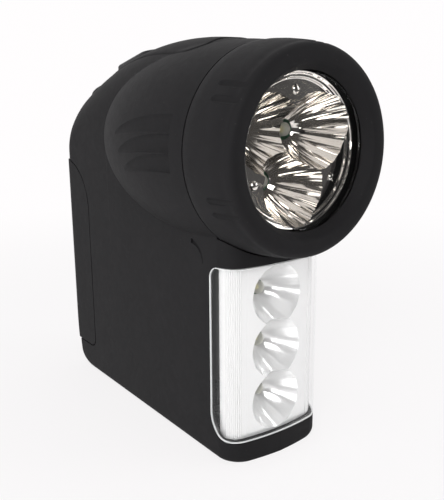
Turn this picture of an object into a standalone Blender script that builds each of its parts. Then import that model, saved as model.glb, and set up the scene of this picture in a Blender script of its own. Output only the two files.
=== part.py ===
"""Wind-up flashlight: a three-LED spot head, a wrap-round side lamp and a folding crank.

The beam points to -Y and +Z is up. The origin lies on the floor under the middle of the
housing. Depths are measured back from the front rim of the bezel, along +Y. The flashlight's
right side is at -X, and the crank is on its left side, at +X.
"""

import math

import bmesh
import bpy
from mathutils import Matrix, Vector

MM = 0.001

# Driving sizes of the whole
total_length = 144.0 * MM
body_half_width = 22.0 * MM
head_axis_height = 110.0 * MM
wall = 2.0 * MM
gap = 0.35 * MM
skin_gap = 0.3 * MM
overlap = 0.5 * MM
far = 200.0 * MM
weld_distance = 0.001 * MM

# Housing: a slab with a bullet-shaped head along its top
slab_front_depth = 14.2 * MM
front_bow_radius = 90.0 * MM
front_corner_radius = 8.0 * MM
back_corner_radius = 8.0 * MM
floor_edge_radius = 2.4 * MM
shoulder_radius = 19.5 * MM
neck_top_height = 73.6 * MM
neck_edge_radius = 2.6 * MM
neck_end_depth = 28.0 * MM
crown_start_depth = 36.0 * MM
crown_rise = 37.2 * MM
crown_height = head_axis_height + crown_rise
crown_peak_depth = 54.0 * MM
crown_radius = 165.0 * MM
back_top_radius = 27.0 * MM
back_bulge_height = 81.0 * MM
back_bulge_radius = 375.0 * MM
heel_height = 5.0 * MM
heel_length = 10.0 * MM
bullet_radius = 36.4 * MM
bullet_widest_depth = 40.0 * MM
bullet_length = 75.6 * MM
seam_depth = 22.0 * MM
finger_groove_count = 3
finger_groove_height = 120.0 * MM
finger_groove_pitch = 7.2 * MM
finger_groove_start = 29.0 * MM
finger_groove_length = 43.0 * MM
finger_groove_drop = 7.0 * MM
finger_groove_radius = 4.4 * MM
finger_groove_cut = 1.1 * MM
groove_steps = 7
neck_groove_depth = 38.0 * MM
neck_groove_height = 71.3 * MM
neck_groove_bend = 7.0 * MM
neck_groove_radius = 0.8 * MM
neck_groove_cut = 0.5 * MM

# Bezel, lens and spigot
bezel_front_radius = 34.0 * MM
bezel_back_radius = 35.5 * MM
bezel_rim_round = 2.6 * MM
bezel_belly_depth = 16.0 * MM
bezel_mouth_radius = 27.6 * MM
lip_radius = 25.6 * MM
lip_depth = 4.1 * MM
lens_radius = 32.0 * MM
lens_thickness = 2.0 * MM
gasket_thickness = 1.0 * MM
gasket_width = 2.6 * MM
grip_count = 6
grip_groove_width = 2.0 * MM
grip_rib_width = 3.4 * MM
grip_groove_cut = 0.7 * MM
grip_end_depth = 13.0 * MM
grip_turn = math.radians(4)
spigot_outer_radius = 32.0 * MM
spigot_inner_radius = 29.8 * MM
spigot_twist = math.radians(2.5)

# Head reflector and its three LEDs
cup_count = 3
cup_circle_radius = 11.6 * MM
cup_mouth_radius = 13.9 * MM
cup_depth = 17.5 * MM
cup_flutes = 10
cup_rings = 3
cup_shell_steps = 12
cup_shell_rings = 2
cup_turn_share = 0.06
flute_share = 0.05
cup_wall = 0.9 * MM
reflector_plate_thickness = 1.4 * MM
reflector_rim_radius = 24.6 * MM
reflector_step = 1.6 * MM
post_radius = 1.8 * MM
post_circle_radius = 19.6 * MM
dimple_radius = 1.6 * MM
dimple_height = 0.5 * MM
led_radius = 2.5 * MM
led_flange_radius = 2.9 * MM
led_flange_thickness = 1.0 * MM
led_stand = 5.2 * MM
led_hole_clearance = 0.35 * MM
board_thickness = 1.6 * MM
head_board_radius = 23.0 * MM

# Side lamp
window_bottom_height = 8.0 * MM
window_top_height = 71.6 * MM
window_back_depth = 27.2 * MM
window_low_corner = 9.5 * MM
window_high_corner = 3.0 * MM
window_wall = 1.7 * MM
lamp_cup_mouth_radius = 11.4 * MM
lamp_cup_depth = 12.0 * MM
lamp_cup_margin = 0.6 * MM
lamp_cup_pitch = (window_top_height - window_bottom_height) / 2 - lamp_cup_mouth_radius - lamp_cup_margin
lamp_bow_sink = 0.5 * MM
lamp_cup_flutes = 8
lamp_plate_thickness = 1.2 * MM
lamp_board_half_width = 9.0 * MM
lamp_side_length = 11.0 * MM
lamp_rib_length = 3.2 * MM
lamp_rib_thickness = 1.6 * MM

# Switch pad and its two buttons
pad_front_depth = 41.0 * MM
pad_end_setback = 25.0 * MM
pad_back_depth = total_length - pad_end_setback
pad_front_half_width = 16.6 * MM
pad_back_half_width = 11.0 * MM
pad_corner_radius = 7.0 * MM
pad_recess = 1.2 * MM
pad_proud = 0.4 * MM
button_travel = 0.8 * MM
spot_button_length = 29.5 * MM
spot_button_setback = 5.5 * MM
spot_button_back_depth = pad_back_depth - spot_button_setback
spot_button_front_depth = spot_button_back_depth - spot_button_length
spot_button_half_width = 8.5 * MM
spot_button_proud = 2.4 * MM
spot_button_front_proud = 0.6 * MM
lamp_button_half_width = 10.5 * MM
lamp_button_half_length = 7.5 * MM
lamp_button_proud = 2.5 * MM
lamp_button_round = 1.6 * MM
lamp_button_skirt = 3.2 * MM
lamp_button_angle = math.radians(50)
wedge_steps = 6
stem_radius = 1.8 * MM
stem_length = 6.0 * MM
switch_size = 6.0 * MM
switch_height = 3.6 * MM
switch_plunger_radius = 1.6 * MM
switch_plunger_height = 0.8 * MM
bracket_thickness = 1.6 * MM
bracket_half_width = 12.0 * MM
bracket_front_reach = 8.0 * MM
ledge_bearing = 2.0 * MM
ledge_thickness = 1.8 * MM
ledge_length = 12.0 * MM
ledge_setback = 3.5 * MM
ledge_back_depth = spot_button_back_depth - ledge_setback
ledge_depths = (ledge_back_depth - ledge_length, ledge_back_depth)

# Rear cover and battery bay
cover_length = 24.3 * MM
cover_front_depth = total_length - cover_length
cover_proud = 1.4 * MM
cover_bottom_height = 12.2 * MM
cover_top_height = 98.0 * MM
cover_top_radius = 21.0 * MM
cover_low_radius = 4.0 * MM
cell_radius = 5.2 * MM
cell_length = 44.0 * MM
cell_tip_radius = 1.9 * MM
cell_tip_height = 0.8 * MM
cell_count = 3
cell_pitch = 11.6 * MM
cell_setback = 16.4 * MM
cell_depth = total_length - cell_setback
cell_bottom_height = 30.0 * MM
holder_thickness = 1.8 * MM
contact_thickness = 0.5 * MM
contact_dome_radius = 2.6 * MM
contact_dome_height = 1.4 * MM

# Crank on the left side
crank_depth = 88.0 * MM
crank_height = 44.0 * MM
crank_reach = 36.0 * MM
crank_hub_radius = 9.0 * MM
crank_thickness = 7.2 * MM
crank_rail_width = 3.0 * MM
handle_radius = 3.9 * MM
handle_length = 18.0 * MM
handle_round = 1.2 * MM
crank_end_setback = 3.0 * MM
crank_rim_round = 0.8 * MM
spindle_radius = 1.6 * MM
spindle_head_radius = 2.7 * MM
spindle_head_length = 1.0 * MM
knuckle_radius = 3.4 * MM
pivot_pin_radius = 1.1 * MM
collar_radius = 5.6 * MM
spline_radius = 3.0 * MM
spline_length = 2.8 * MM

# Gear train, all axes along X
gear_module = 1.2 * MM
pressure_angle = math.radians(20)
backlash = 0.38 * MM
addendum_share = 0.82
dedendum_share = 1.12
drive_teeth = 36
wheel_teeth = 32
pinion_teeth = 10
drive_gear_start = 15.0 * MM
first_wheel_start = 10.2 * MM
second_wheel_start = 5.4 * MM
gear_thickness = 3.2 * MM
gear_overlap = 0.6 * MM
first_stage_angle = math.radians(200)
second_stage_angle = math.radians(95)
third_stage_angle = math.radians(50)
axle_radius = 1.5 * MM
axle_gap = 0.35 * MM
gear_hub_radius = 3.2 * MM
shaft_radius = 3.0 * MM
tip_radius = 1.9 * MM
bearing_radius = 8.5 * MM
pinion_bore_gap = 0.3 * MM
plate_face = 1.0 * MM
plate_thickness = 2.0 * MM
plate_lobe_radius = 6.5 * MM
generator_radius = 14.0 * MM
generator_length = 13.6 * MM
generator_wall = 1.0 * MM
coil_thickness = 2.2 * MM
magnet_radius = 10.0 * MM
rotor_shaft_radius = 1.2 * MM

# Fasteners and bosses
screw_radius = 1.25 * MM
screw_head_radius = 2.7 * MM
screw_head_height = 1.8 * MM
screw_slot_width = 0.7 * MM
post_outer_radius = 4.4 * MM
plate_post_radius = 3.4 * MM
axle_boss_radius = 3.6 * MM
screw_reach = 12.0 * MM
plate_screw_reach = 9.0 * MM
crank_screw_start = 14.0 * MM
head_depth = 2.6 * MM

# Places of bosses: depth and height
housing_screw_places = ((106.0 * MM, 9.0 * MM), (42.0 * MM, 8.0 * MM), (108.0 * MM, 106.0 * MM))
plate_screw_places = ((40.5 * MM, 22.0 * MM), (88.0 * MM, 13.0 * MM), (98.0 * MM, 74.0 * MM))
board_post_places = ((50.0 * MM, 20.0 * MM), (100.0 * MM, 20.0 * MM), (76.0 * MM, 54.0 * MM))

# Circuit board
board_front_depth = 44.0 * MM
board_back_depth = 106.0 * MM
board_bottom_height = 16.0 * MM
board_top_height = 60.0 * MM
board_face = 12.4 * MM
capacitor_radius = 5.0 * MM
capacitor_length = 10.5 * MM
capacitor_place = (92.0 * MM, 32.0 * MM)
board_post_radius = 2.6 * MM
board_peg_radius = 0.9 * MM

front_y = -total_length / 2
back_depth = total_length - cover_proud
step_depth = seam_depth + gap
neck_step_depth = step_depth + gap
inner_half_width = body_half_width - wall
lens_stack = lens_thickness + gasket_thickness + reflector_plate_thickness
spigot_front = lip_depth + 4 * skin_gap + lens_stack
lamp_back_depth = slab_front_depth + wall + skin_gap + lamp_plate_thickness + lamp_side_length
spot_button_depth = (spot_button_front_depth + spot_button_back_depth) / 2
plate_back = plate_face + plate_thickness
plate_screw_end = plate_back + plate_screw_reach
drive_gear_end = drive_gear_start + gear_thickness
collar_end = body_half_width + gap + gap
axle_boss_face = drive_gear_end + gear_overlap + 2 * gap
axle_end = inner_half_width + wall / 4
rotor_end = second_wheel_start + gear_thickness + 2 * gear_overlap
head_seat = body_half_width - head_depth
board_back_face = board_face + board_thickness
full_turn = 2 * math.pi
fine_steps = 40
round_steps = 24
small_steps = 12
inner_detail_share = 0.5


def stepped(place, teeth, angle):
    """Centre of a gear that meshes with the wheel at a place, in this direction from it."""
    distance = gear_module * (teeth + pinion_teeth) / 2
    return (place[0] + distance * math.cos(angle), place[1] + distance * math.sin(angle))


first_axle_place = stepped((crank_depth, crank_height), drive_teeth, first_stage_angle)
second_axle_place = stepped(first_axle_place, wheel_teeth, second_stage_angle)
rotor_place = stepped(second_axle_place, wheel_teeth, third_stage_angle)


def make_collection(name):
    collection = bpy.data.collections.new(name)
    bpy.context.scene.collection.children.link(collection)
    return collection


def make_material(name, colour, roughness, metallic=0.0, transmission=0.0):
    material = bpy.data.materials.new(name)
    material.use_nodes = True
    shader = material.node_tree.nodes["Principled BSDF"]
    shader.inputs["Base Color"].default_value = (*colour, 1.0)
    shader.inputs["Roughness"].default_value = roughness
    shader.inputs["Metallic"].default_value = metallic
    shader.inputs["Transmission Weight"].default_value = transmission
    return material


def depth(distance):
    """World y of a place that lies this far behind the bezel's front rim."""
    return front_y + distance


def add_object(name, mesh, collection):
    item = bpy.data.objects.new(name, mesh)
    collection.objects.link(item)
    if collection is tools:
        item.hide_render = True
        item.display_type = "WIRE"
    return item


def from_bmesh(name, bm, collection):
    bmesh.ops.recalc_face_normals(bm, faces=bm.faces)
    mesh = bpy.data.meshes.new(name)
    bm.to_mesh(mesh)
    bm.free()
    return add_object(name, mesh, collection)


def box(name, low, high, collection):
    """A block between two corners."""
    bm = bmesh.new()
    bmesh.ops.create_cube(bm, size=1.0)
    size = Vector(high) - Vector(low)
    middle = (Vector(high) + Vector(low)) / 2
    bmesh.ops.scale(bm, vec=size, verts=bm.verts)
    bmesh.ops.translate(bm, vec=middle, verts=bm.verts)
    return from_bmesh(name, bm, collection)


def turned(name, profile, place, axis, collection, steps=round_steps):
    """A turned solid. The profile lists (radius, distance along the axis) from the place."""
    closed = profile[0][0] > 0
    ordered = list(profile)
    area = 0.0
    for (r0, h0), (r1, h1) in zip(ordered, ordered[1:] + ordered[:1]):
        area += r0 * h1 - r1 * h0
    if area > 0:
        ordered.reverse()
    mesh = bpy.data.meshes.new(name)
    edges = [(i, i + 1) for i in range(len(ordered) - 1)]
    if closed:
        edges.append((len(ordered) - 1, 0))
    mesh.from_pydata([(r, 0, h) for r, h in ordered], edges, [])
    item = add_object(name, mesh, collection)
    screw = item.modifiers.new("Turn", "SCREW")
    screw.steps = steps
    screw.render_steps = steps
    screw.use_merge_vertices = True
    screw.merge_threshold = weld_distance
    screw.use_smooth_shade = True
    return turn_to(item, place, axis)


def turn_to(item, place, axis):
    """Puts a piece made about Z at a place, with its axis along X, Y or Z."""
    item.location = place
    if axis == "Y":
        item.rotation_euler = (-math.pi / 2, 0, 0)
    if axis == "X":
        item.rotation_euler = (0, math.pi / 2, 0)
    return item


def rod(name, radius, start, end, place, axis, collection, steps=small_steps):
    """A plain cylinder between two distances along its axis."""
    bm = bmesh.new()
    bmesh.ops.create_cone(bm, cap_ends=True, segments=steps, radius1=radius, radius2=radius,
                          depth=end - start)
    bmesh.ops.translate(bm, vec=(0, 0, (start + end) / 2), verts=bm.verts)
    for face in bm.faces:
        face.smooth = len(face.verts) == 4
    return turn_to(from_bmesh(name, bm, collection), place, axis)


def tube(name, outer, inner, start, end, place, axis, collection, steps=round_steps):
    profile = [(inner, end), (outer, end), (outer, start), (inner, start)]
    return turned(name, profile, place, axis, collection, steps)


def from_curve(name, curve, matrix, collection):
    """Turns a curve's solid into a mesh object with welded caps."""
    carrier = bpy.data.objects.new(name, curve)
    tools.objects.link(carrier)
    bpy.context.view_layer.update()
    mesh = bpy.data.meshes.new_from_object(carrier.evaluated_get(bpy.context.evaluated_depsgraph_get()))
    bpy.data.objects.remove(carrier)
    bpy.data.curves.remove(curve)
    bm = bmesh.new()
    bm.from_mesh(mesh)
    bpy.data.meshes.remove(mesh)
    bmesh.ops.remove_doubles(bm, verts=bm.verts, dist=weld_distance)
    bmesh.ops.transform(bm, matrix=matrix, verts=bm.verts)
    return from_bmesh(name, bm, collection)


def prism(name, outline, start, end, axis, collection):
    """A flat outline pushed along X, Y or Z. The outline holds the other two coordinates."""
    curve = bpy.data.curves.new(name, "CURVE")
    curve.dimensions = "2D"
    curve.fill_mode = "BOTH"
    curve.extrude = (end - start) / 2
    spline = curve.splines.new("POLY")
    spline.points.add(len(outline) - 1)
    for point, (u, v) in zip(spline.points, outline):
        point.co = (u, v, 0, 1)
    spline.use_cyclic_u = True
    middle = (start + end) / 2
    turns = {
        "Z": Matrix(((1, 0, 0, 0), (0, 1, 0, 0), (0, 0, 1, middle), (0, 0, 0, 1))),
        "X": Matrix(((0, 0, 1, middle), (1, 0, 0, 0), (0, 1, 0, 0), (0, 0, 0, 1))),
        "Y": Matrix(((1, 0, 0, 0), (0, 0, -1, middle), (0, 1, 0, 0), (0, 0, 0, 1))),
    }
    return from_curve(name, curve, turns[axis], collection)


def loft(name, sections, collection):
    """A closed skin through rings that all have the same number of points."""
    bm = bmesh.new()
    edges = []
    rings = []
    for section in sections:
        ring = [bm.verts.new(point) for point in section]
        rings.append(ring)
        edges.append([bm.edges.new((a, b)) for a, b in zip(ring, ring[1:] + ring[:1])])
    for near, off in zip(edges, edges[1:]):
        bmesh.ops.bridge_loops(bm, edges=near + off)
    bm.faces.new(rings[0])
    bm.faces.new(rings[-1])
    bmesh.ops.triangulate(bm, faces=bm.faces)
    return from_bmesh(name, bm, collection)


def change(target, tool, operation):
    modifier = target.modifiers.new(tool.name, "BOOLEAN")
    modifier.operation = operation
    modifier.object = tool
    modifier.solver = "EXACT"
    return target


def cut(target, *cutters):
    for cutter in cutters:
        change(target, cutter, "DIFFERENCE")
    return target


def join(target, *others):
    for other in others:
        change(target, other, "UNION")
    return target


def keep(target, *others):
    for other in others:
        change(target, other, "INTERSECT")
    return target


def paint(item, material):
    item.data.materials.clear()
    item.data.materials.append(material)
    return item


def set_origin(item, point):
    """Moves an unrotated object's origin to a point on its joint's axis."""
    shift = Vector(point) - item.location
    item.data.transform(Matrix.Translation(-shift))
    item.location = point
    return item


def arc(centre, radius, start, end, count):
    """Points along an arc, both ends included."""
    points = []
    for i in range(count + 1):
        angle = start + (end - start) * i / count
        points.append((centre[0] + radius * math.cos(angle), centre[1] + radius * math.sin(angle)))
    return points


def rounded_box(low, high, radii, count=5):
    """Outline of a box whose corners have the radii given from the low corner round."""
    quarter = math.pi / 2
    corners = (
        (low[0] + radii[0], low[1] + radii[0], 2 * quarter),
        (high[0] - radii[1], low[1] + radii[1], 3 * quarter),
        (high[0] - radii[2], high[1] - radii[2], 0),
        (low[0] + radii[3], high[1] - radii[3], quarter),
    )
    outline = []
    for radius, (u, v, start) in zip(radii, corners):
        outline += arc((u, v), radius, start, start + quarter, count)
    return outline


# The housing's form

def front_corner():
    """Depth of the front corner's centre, and the share of a radius at which the bow meets it."""
    side = body_half_width - front_corner_radius
    reach = front_bow_radius - front_corner_radius
    rise = math.sqrt(reach ** 2 - side ** 2)
    return slab_front_depth + front_bow_radius - rise, rise / reach


def slab_half_width(y_depth, inset):
    """Half width of the slab at a depth: bowed front, rounded upright corners."""
    half = body_half_width - inset
    back_radius = back_corner_radius - inset
    past = y_depth - (back_depth - back_corner_radius)
    if past > 0:
        return half - back_radius + math.sqrt(max(back_radius ** 2 - past ** 2, 0))
    centre_depth, share = front_corner()
    corner_radius = front_corner_radius - inset
    short = centre_depth - y_depth
    if short <= 0:
        return half
    if short <= corner_radius * share:
        return half - corner_radius + math.sqrt(corner_radius ** 2 - short ** 2)
    bow = front_bow_radius - inset
    bow_short = slab_front_depth + front_bow_radius - y_depth
    return math.sqrt(max(bow ** 2 - bow_short ** 2, overlap ** 2))


def crown_line(y_depth, inset):
    """Height of the top line: a long arc that runs into the tighter arc at the back."""
    long_radius = crown_radius - inset
    back_radius = back_top_radius - inset
    long_centre = crown_height - crown_radius
    back_centre_depth = back_depth - back_top_radius
    reach = crown_radius - back_top_radius
    run = back_centre_depth - crown_peak_depth
    back_centre = long_centre + math.sqrt(reach ** 2 - run ** 2)
    touch = back_centre_depth + back_radius * run / reach
    if y_depth < touch:
        return long_centre + math.sqrt(long_radius ** 2 - (y_depth - crown_peak_depth) ** 2)
    past = min(y_depth - back_centre_depth, back_radius)
    return back_centre + math.sqrt(back_radius ** 2 - past ** 2)


def slab_top(y_depth, inset):
    low = neck_top_height - inset
    if y_depth <= neck_step_depth + inset:
        return low
    shelf = head_axis_height - inset
    if y_depth <= neck_end_depth:
        return shelf
    if y_depth < crown_start_depth:
        share = (y_depth - neck_end_depth) / (crown_start_depth - neck_end_depth)
        return shelf + share * (crown_line(crown_start_depth, inset) - shelf)
    return crown_line(y_depth, inset)


def slab_floor(y_depth, inset):
    """Height of the underside, which climbs at the back along the heel and the back's curve."""
    end = back_depth - inset
    radius = back_bulge_radius - inset
    lean = radius - math.sqrt(radius ** 2 - (back_bulge_height - heel_height) ** 2)
    heel_end = end - lean
    if y_depth <= heel_end - heel_length:
        return inset
    if y_depth <= heel_end:
        share = (y_depth - heel_end + heel_length) / heel_length
        return inset + (heel_height - inset) * (1 - math.sqrt(max(1 - share ** 2, 0)))
    in_radius = radius - (end - y_depth)
    return back_bulge_height - math.sqrt(max(radius ** 2 - in_radius ** 2, 0))


def slab_stations(inset, detail):
    """Depths of the loft's sections, closer together where the form turns."""
    start = slab_front_depth + inset
    end = back_depth - inset
    centre_depth, share = front_corner()
    corner_radius = front_corner_radius - inset
    touch = centre_depth - corner_radius * share
    stations = [start, (start + touch) / 2, touch]
    widest = math.acos(share)
    corner_steps = round(4 * detail)
    for i in range(1, corner_steps + 1):
        angle = widest + (math.pi / 2 - widest) * i / corner_steps
        stations.append(centre_depth - corner_radius * math.cos(angle))
    step = neck_step_depth + inset
    stations = [station for station in stations if station < step - overlap] + [step, step + overlap / 10]
    stations += [neck_end_depth, crown_start_depth]
    turn_depth = back_depth - back_top_radius
    crown_steps = round(3 * detail)
    for i in range(1, crown_steps + 1):
        stations.append(crown_start_depth + (turn_depth - crown_start_depth) * i / crown_steps)
    back_steps = round(10 * detail)
    for i in range(1, back_steps):
        stations.append(turn_depth + (end - turn_depth) * math.sin(math.pi / 2 * i / back_steps))
    return stations + [end]


def slab_section(y_depth, inset, detail):
    """Ring of points at one depth: floor, walls and rounded shoulders."""
    half = slab_half_width(y_depth, inset)
    floor = slab_floor(y_depth, inset)
    top = slab_top(y_depth, inset)
    in_neck = y_depth <= neck_step_depth + inset
    low_radius = min(floor_edge_radius, half - overlap)
    high_radius = neck_edge_radius if in_neck else shoulder_radius
    high_radius = min(max(high_radius - inset, overlap), half - overlap, (top - floor) / 2)
    right = arc((half - low_radius, floor + low_radius), low_radius, -math.pi / 2, 0, round(2 * detail))
    right += arc((half - high_radius, top - high_radius), high_radius, 0, math.pi / 2, round(7 * detail))
    left = [(-x, z) for x, z in reversed(right)]
    return [(x, depth(y_depth), z) for x, z in right + left]


def bullet(name, inset, detail):
    """The head's bullet: a half ellipse turned about the head's axis, flat at the seam."""
    radius = bullet_radius - inset
    length = bullet_length - inset
    first = step_depth + inset
    count = round(12 * detail)
    profile = [(0, first)]
    start_angle = math.asin((first - bullet_widest_depth) / length)
    for i in range(count):
        angle = start_angle + (math.pi / 2 - start_angle) * i / count
        profile.append((radius * math.cos(angle), bullet_widest_depth + length * math.sin(angle)))
    profile.append((0, bullet_widest_depth + length))
    return turned(name, profile, (0, front_y, head_axis_height), "Y", tools, round(fine_steps * detail))


def body_form(name, inset, detail=1.0):
    """The housing's outer form, drawn in by the inset on every side."""
    sections = [slab_section(station, inset, detail) for station in slab_stations(inset, detail)]
    form = loft(name, sections, tools)
    return join(form, bullet(name + "_bullet", inset, detail))


def window_outline(grow):
    """Side view of the side lamp's cover: depth and height."""
    return rounded_box(
        (depth(slab_front_depth - far), window_bottom_height - grow),
        (depth(window_back_depth + grow), window_top_height + grow),
        (overlap, window_low_corner + grow, window_high_corner + grow, overlap),
    )


def cover_outline(grow):
    """Side view of the rear cover: depth and height."""
    front = cover_front_depth - grow
    low = cover_bottom_height - grow
    high = cover_top_height + grow
    low_radius = cover_low_radius + grow
    high_radius = cover_top_radius + grow
    outline = arc((depth(front + high_radius), high - high_radius), high_radius, math.pi / 2, math.pi, 8)
    outline += arc((depth(front + low_radius), low + low_radius), low_radius, math.pi, 1.5 * math.pi, 4)
    return outline + [(depth(back_depth + far), low), (depth(back_depth + far), high)]


def pad_outline(grow):
    """Plan of the switch pad: wide and round at the front, narrower at the back."""
    front = depth(pad_front_depth) - grow
    back = depth(pad_back_depth) + grow
    wide = pad_front_half_width + grow
    narrow = pad_back_half_width + grow
    radius = pad_corner_radius + grow
    back_radius = radius * pad_back_half_width / pad_front_half_width
    right = arc((wide - radius, front + radius), radius, -math.pi / 2, 0, 6)
    right += arc((narrow - back_radius, back - back_radius), back_radius, 0, math.pi / 2, 4)
    left = [(-x, y) for x, y in reversed(right)]
    return right + left


def spot_button_outline(grow):
    half = spot_button_half_width + grow
    front = depth(spot_button_front_depth) - grow
    back = depth(spot_button_back_depth) + grow
    front_radius = half - overlap
    back_radius = front_radius / 3
    return rounded_box((-half, front), (half, back), (front_radius, front_radius, back_radius, back_radius))


def lamp_button_place():
    """Where the lamp button's axis meets the skin, on the arc at the back of the crown."""
    run = back_depth - back_top_radius - crown_peak_depth
    reach = crown_radius - back_top_radius
    centre = crown_height - crown_radius + math.sqrt(reach ** 2 - run ** 2)
    y = depth(back_depth - back_top_radius) + back_top_radius * math.cos(lamp_button_angle)
    z = centre + back_top_radius * math.sin(lamp_button_angle)
    return Vector((0, y, z))


def oval(name, rings, collection):
    """A solid through ovals of the lamp button's outline. Each ring holds its inset and its height."""
    sections = []
    for inset, height in rings:
        wide = lamp_button_half_width - inset
        long = lamp_button_half_length - inset
        turns = [full_turn * i / round_steps for i in range(round_steps)]
        sections.append([(wide * math.cos(turn), long * math.sin(turn), height) for turn in turns])
    return loft(name, sections, collection)


def lean(item, place):
    """Sets a piece turned about Z on the lamp button's axis, with +Z pointing out."""
    item.location = place
    item.rotation_euler = (lamp_button_angle - math.pi / 2, 0, 0)
    return item


for item in list(bpy.data.objects):
    bpy.data.objects.remove(item)

parts = make_collection("wind_up_flashlight")
tools = make_collection("cutters")

black_rubber = make_material("Black soft-touch plastic", (0.022, 0.021, 0.023), 0.55)
black_plastic = make_material("Black plastic", (0.03, 0.03, 0.032), 0.4)
pad_rubber = make_material("Pad rubber", (0.026, 0.025, 0.027), 0.75)
clear_plastic = make_material("Clear plastic", (0.96, 0.97, 0.97), 0.04, 0.0, 1.0)
chrome = make_material("Chrome plating", (0.86, 0.86, 0.87), 0.08, 1.0)
led_epoxy = make_material("LED epoxy", (0.93, 0.94, 0.86), 0.06, 0.0, 0.9)
board_green = make_material("Circuit board", (0.05, 0.2, 0.1), 0.45)
gear_nylon = make_material("White nylon", (0.85, 0.84, 0.8), 0.45)
steel = make_material("Steel", (0.6, 0.6, 0.62), 0.3, 1.0)
copper = make_material("Copper winding", (0.72, 0.36, 0.2), 0.35, 1.0)
brass = make_material("Brass", (0.8, 0.62, 0.3), 0.3, 1.0)
cell_sleeve = make_material("Cell sleeve", (0.1, 0.32, 0.2), 0.35)
grey_plastic = make_material("Grey plastic", (0.25, 0.25, 0.26), 0.5)
magnet_black = make_material("Ferrite", (0.08, 0.08, 0.085), 0.6)
switch_black = make_material("Switch body", (0.05, 0.05, 0.05), 0.5)

head_axis = (0, front_y, head_axis_height)

# Forms that several pieces share
outer_form = body_form("outer_form", 0.0)
inner_form = body_form("inner_form", wall, inner_detail_share)


def side_place(place):
    """Point on the middle plane for a (depth, height) pair."""
    return Vector((0, depth(place[0]), place[1]))


def path_tube(name, points, radius, collection):
    """A round bar along a list of points, closed at both ends."""
    curve = bpy.data.curves.new(name, "CURVE")
    curve.dimensions = "3D"
    curve.bevel_depth = radius
    curve.bevel_resolution = 1
    curve.use_fill_caps = True
    spline = curve.splines.new("POLY")
    spline.points.add(len(points) - 1)
    for point, place in zip(spline.points, points):
        point.co = (*place, 1)
    return from_curve(name, curve, Matrix.Identity(4), collection)


def bullet_radius_at(y_depth):
    share = (y_depth - bullet_widest_depth) / bullet_length
    return bullet_radius * math.sqrt(1 - share ** 2)


def finger_groove(name, side, start_height):
    """A scoop that runs back along the bullet's flank and dips towards its tail."""
    points = []
    for i in range(groove_steps + 1):
        share = i / groove_steps
        y_depth = finger_groove_start + share * finger_groove_length
        rise = start_height - head_axis_height - share ** 2 * finger_groove_drop
        reach = bullet_radius_at(y_depth) + finger_groove_radius - finger_groove_cut
        points.append((side * math.sqrt(reach ** 2 - rise ** 2), depth(y_depth), head_axis_height + rise))
    return path_tube(name, points, finger_groove_radius, tools)


def neck_groove(name, side):
    """The short curved line below the bullet, where the lamp section's corner begins."""
    centre = (depth(neck_groove_depth), neck_groove_height)
    out = side * (body_half_width + neck_groove_radius - neck_groove_cut)
    points = [(out, y, z) for y, z in arc(centre, neck_groove_bend, math.pi / 2, math.pi, 5)]
    return path_tube(name, points, neck_groove_radius, tools)


def across(name, side, radius, start, end, place, steps=small_steps):
    """A cutter or boss along X on one side, between two distances from the middle plane."""
    ends = sorted((side * start, side * end))
    return rod(name, radius, ends[0], ends[1], side_place(place), "X", tools, steps)


def slab_box(name, side, near, out, depths, heights):
    """A rib or ledge on one side's inner wall."""
    ends = sorted((side * near, side * out))
    return box(name, (ends[0], depth(depths[0]), heights[0]), (ends[1], depth(depths[1]), heights[1]), tools)


spot_place = side_place((spot_button_depth, crown_line(spot_button_depth, 0.0)))
lamp_place = lamp_button_place()
switch_drop = stem_length + button_travel + gap + switch_plunger_height + switch_height + skin_gap
bracket_height = spot_place.z - switch_drop

# Housing: one hollow body with its openings, which is cut in two along the middle

housing = body_form("housing_body", 0.0)
cut(housing, inner_form)

mouth_end = neck_step_depth + wall + overlap
spigot_end = step_depth + wall / 2
spigot = rod("spigot", spigot_outer_radius, spigot_front, spigot_end, head_axis, "Y", tools, fine_steps)
spigot.rotation_euler.y = spigot_twist
join(housing, spigot)
neck_mouth = rod("neck_mouth", spigot_inner_radius, 0, mouth_end, head_axis, "Y", tools, fine_steps)
neck_mouth.rotation_euler.y = 2 * spigot_twist
cut(housing, neck_mouth)

cut(housing, prism("window_opening", window_outline(gap), -far, far, "X", tools))
cut(housing, prism("rear_opening", cover_outline(gap), -far, far, "X", tools))

recess_form = body_form("recess_form", pad_recess)
pad_pocket = prism("pad_pocket", pad_outline(gap), head_axis_height, far, "Z", tools)
cut(housing, cut(pad_pocket, recess_form))

cut(housing, rod("spot_stem_hole", stem_radius + gap, -2 * wall, wall, spot_place, "Z", tools))
cut(housing, lean(oval("lamp_button_hole", [(-gap, -3 * wall), (-gap, 2 * wall)], tools), lamp_place))

for side, label in ((-1, "right"), (1, "left")):
    for number in range(finger_groove_count):
        height = finger_groove_height - number * finger_groove_pitch
        cut(housing, finger_groove(f"finger_groove_{label}_{number + 1}", side, height))
    cut(housing, neck_groove(f"neck_groove_{label}", side))
    near = inner_half_width - lamp_rib_length
    out = inner_half_width + wall / 2
    rib_depths = (lamp_back_depth + gap, lamp_back_depth + gap + lamp_rib_thickness)
    rib_heights = (window_bottom_height, window_top_height - window_high_corner)
    join(housing, slab_box(f"lamp_rib_{label}", side, near, out, rib_depths, rib_heights))
    ledge_near = bracket_half_width - ledge_bearing
    ledge_top = bracket_height - bracket_thickness - gap
    ledge_heights = (ledge_top - ledge_thickness, ledge_top)
    ledge_out = inner_half_width - wall / 2
    join(housing, slab_box(f"bracket_ledge_{label}", side, ledge_near, ledge_out, ledge_depths,
                           ledge_heights))


def housing_half(name, side):
    """One half of the housing: a block on its side of the middle plane, cut to the housing's form."""
    ends = sorted((side * gap / 2, side * far))
    half = box(name, (ends[0], -far, -far), (ends[1], far, far), parts)
    return keep(half, housing)


housing_right = housing_half("housing_right", -1)
housing_left = housing_half("housing_left", 1)

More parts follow.
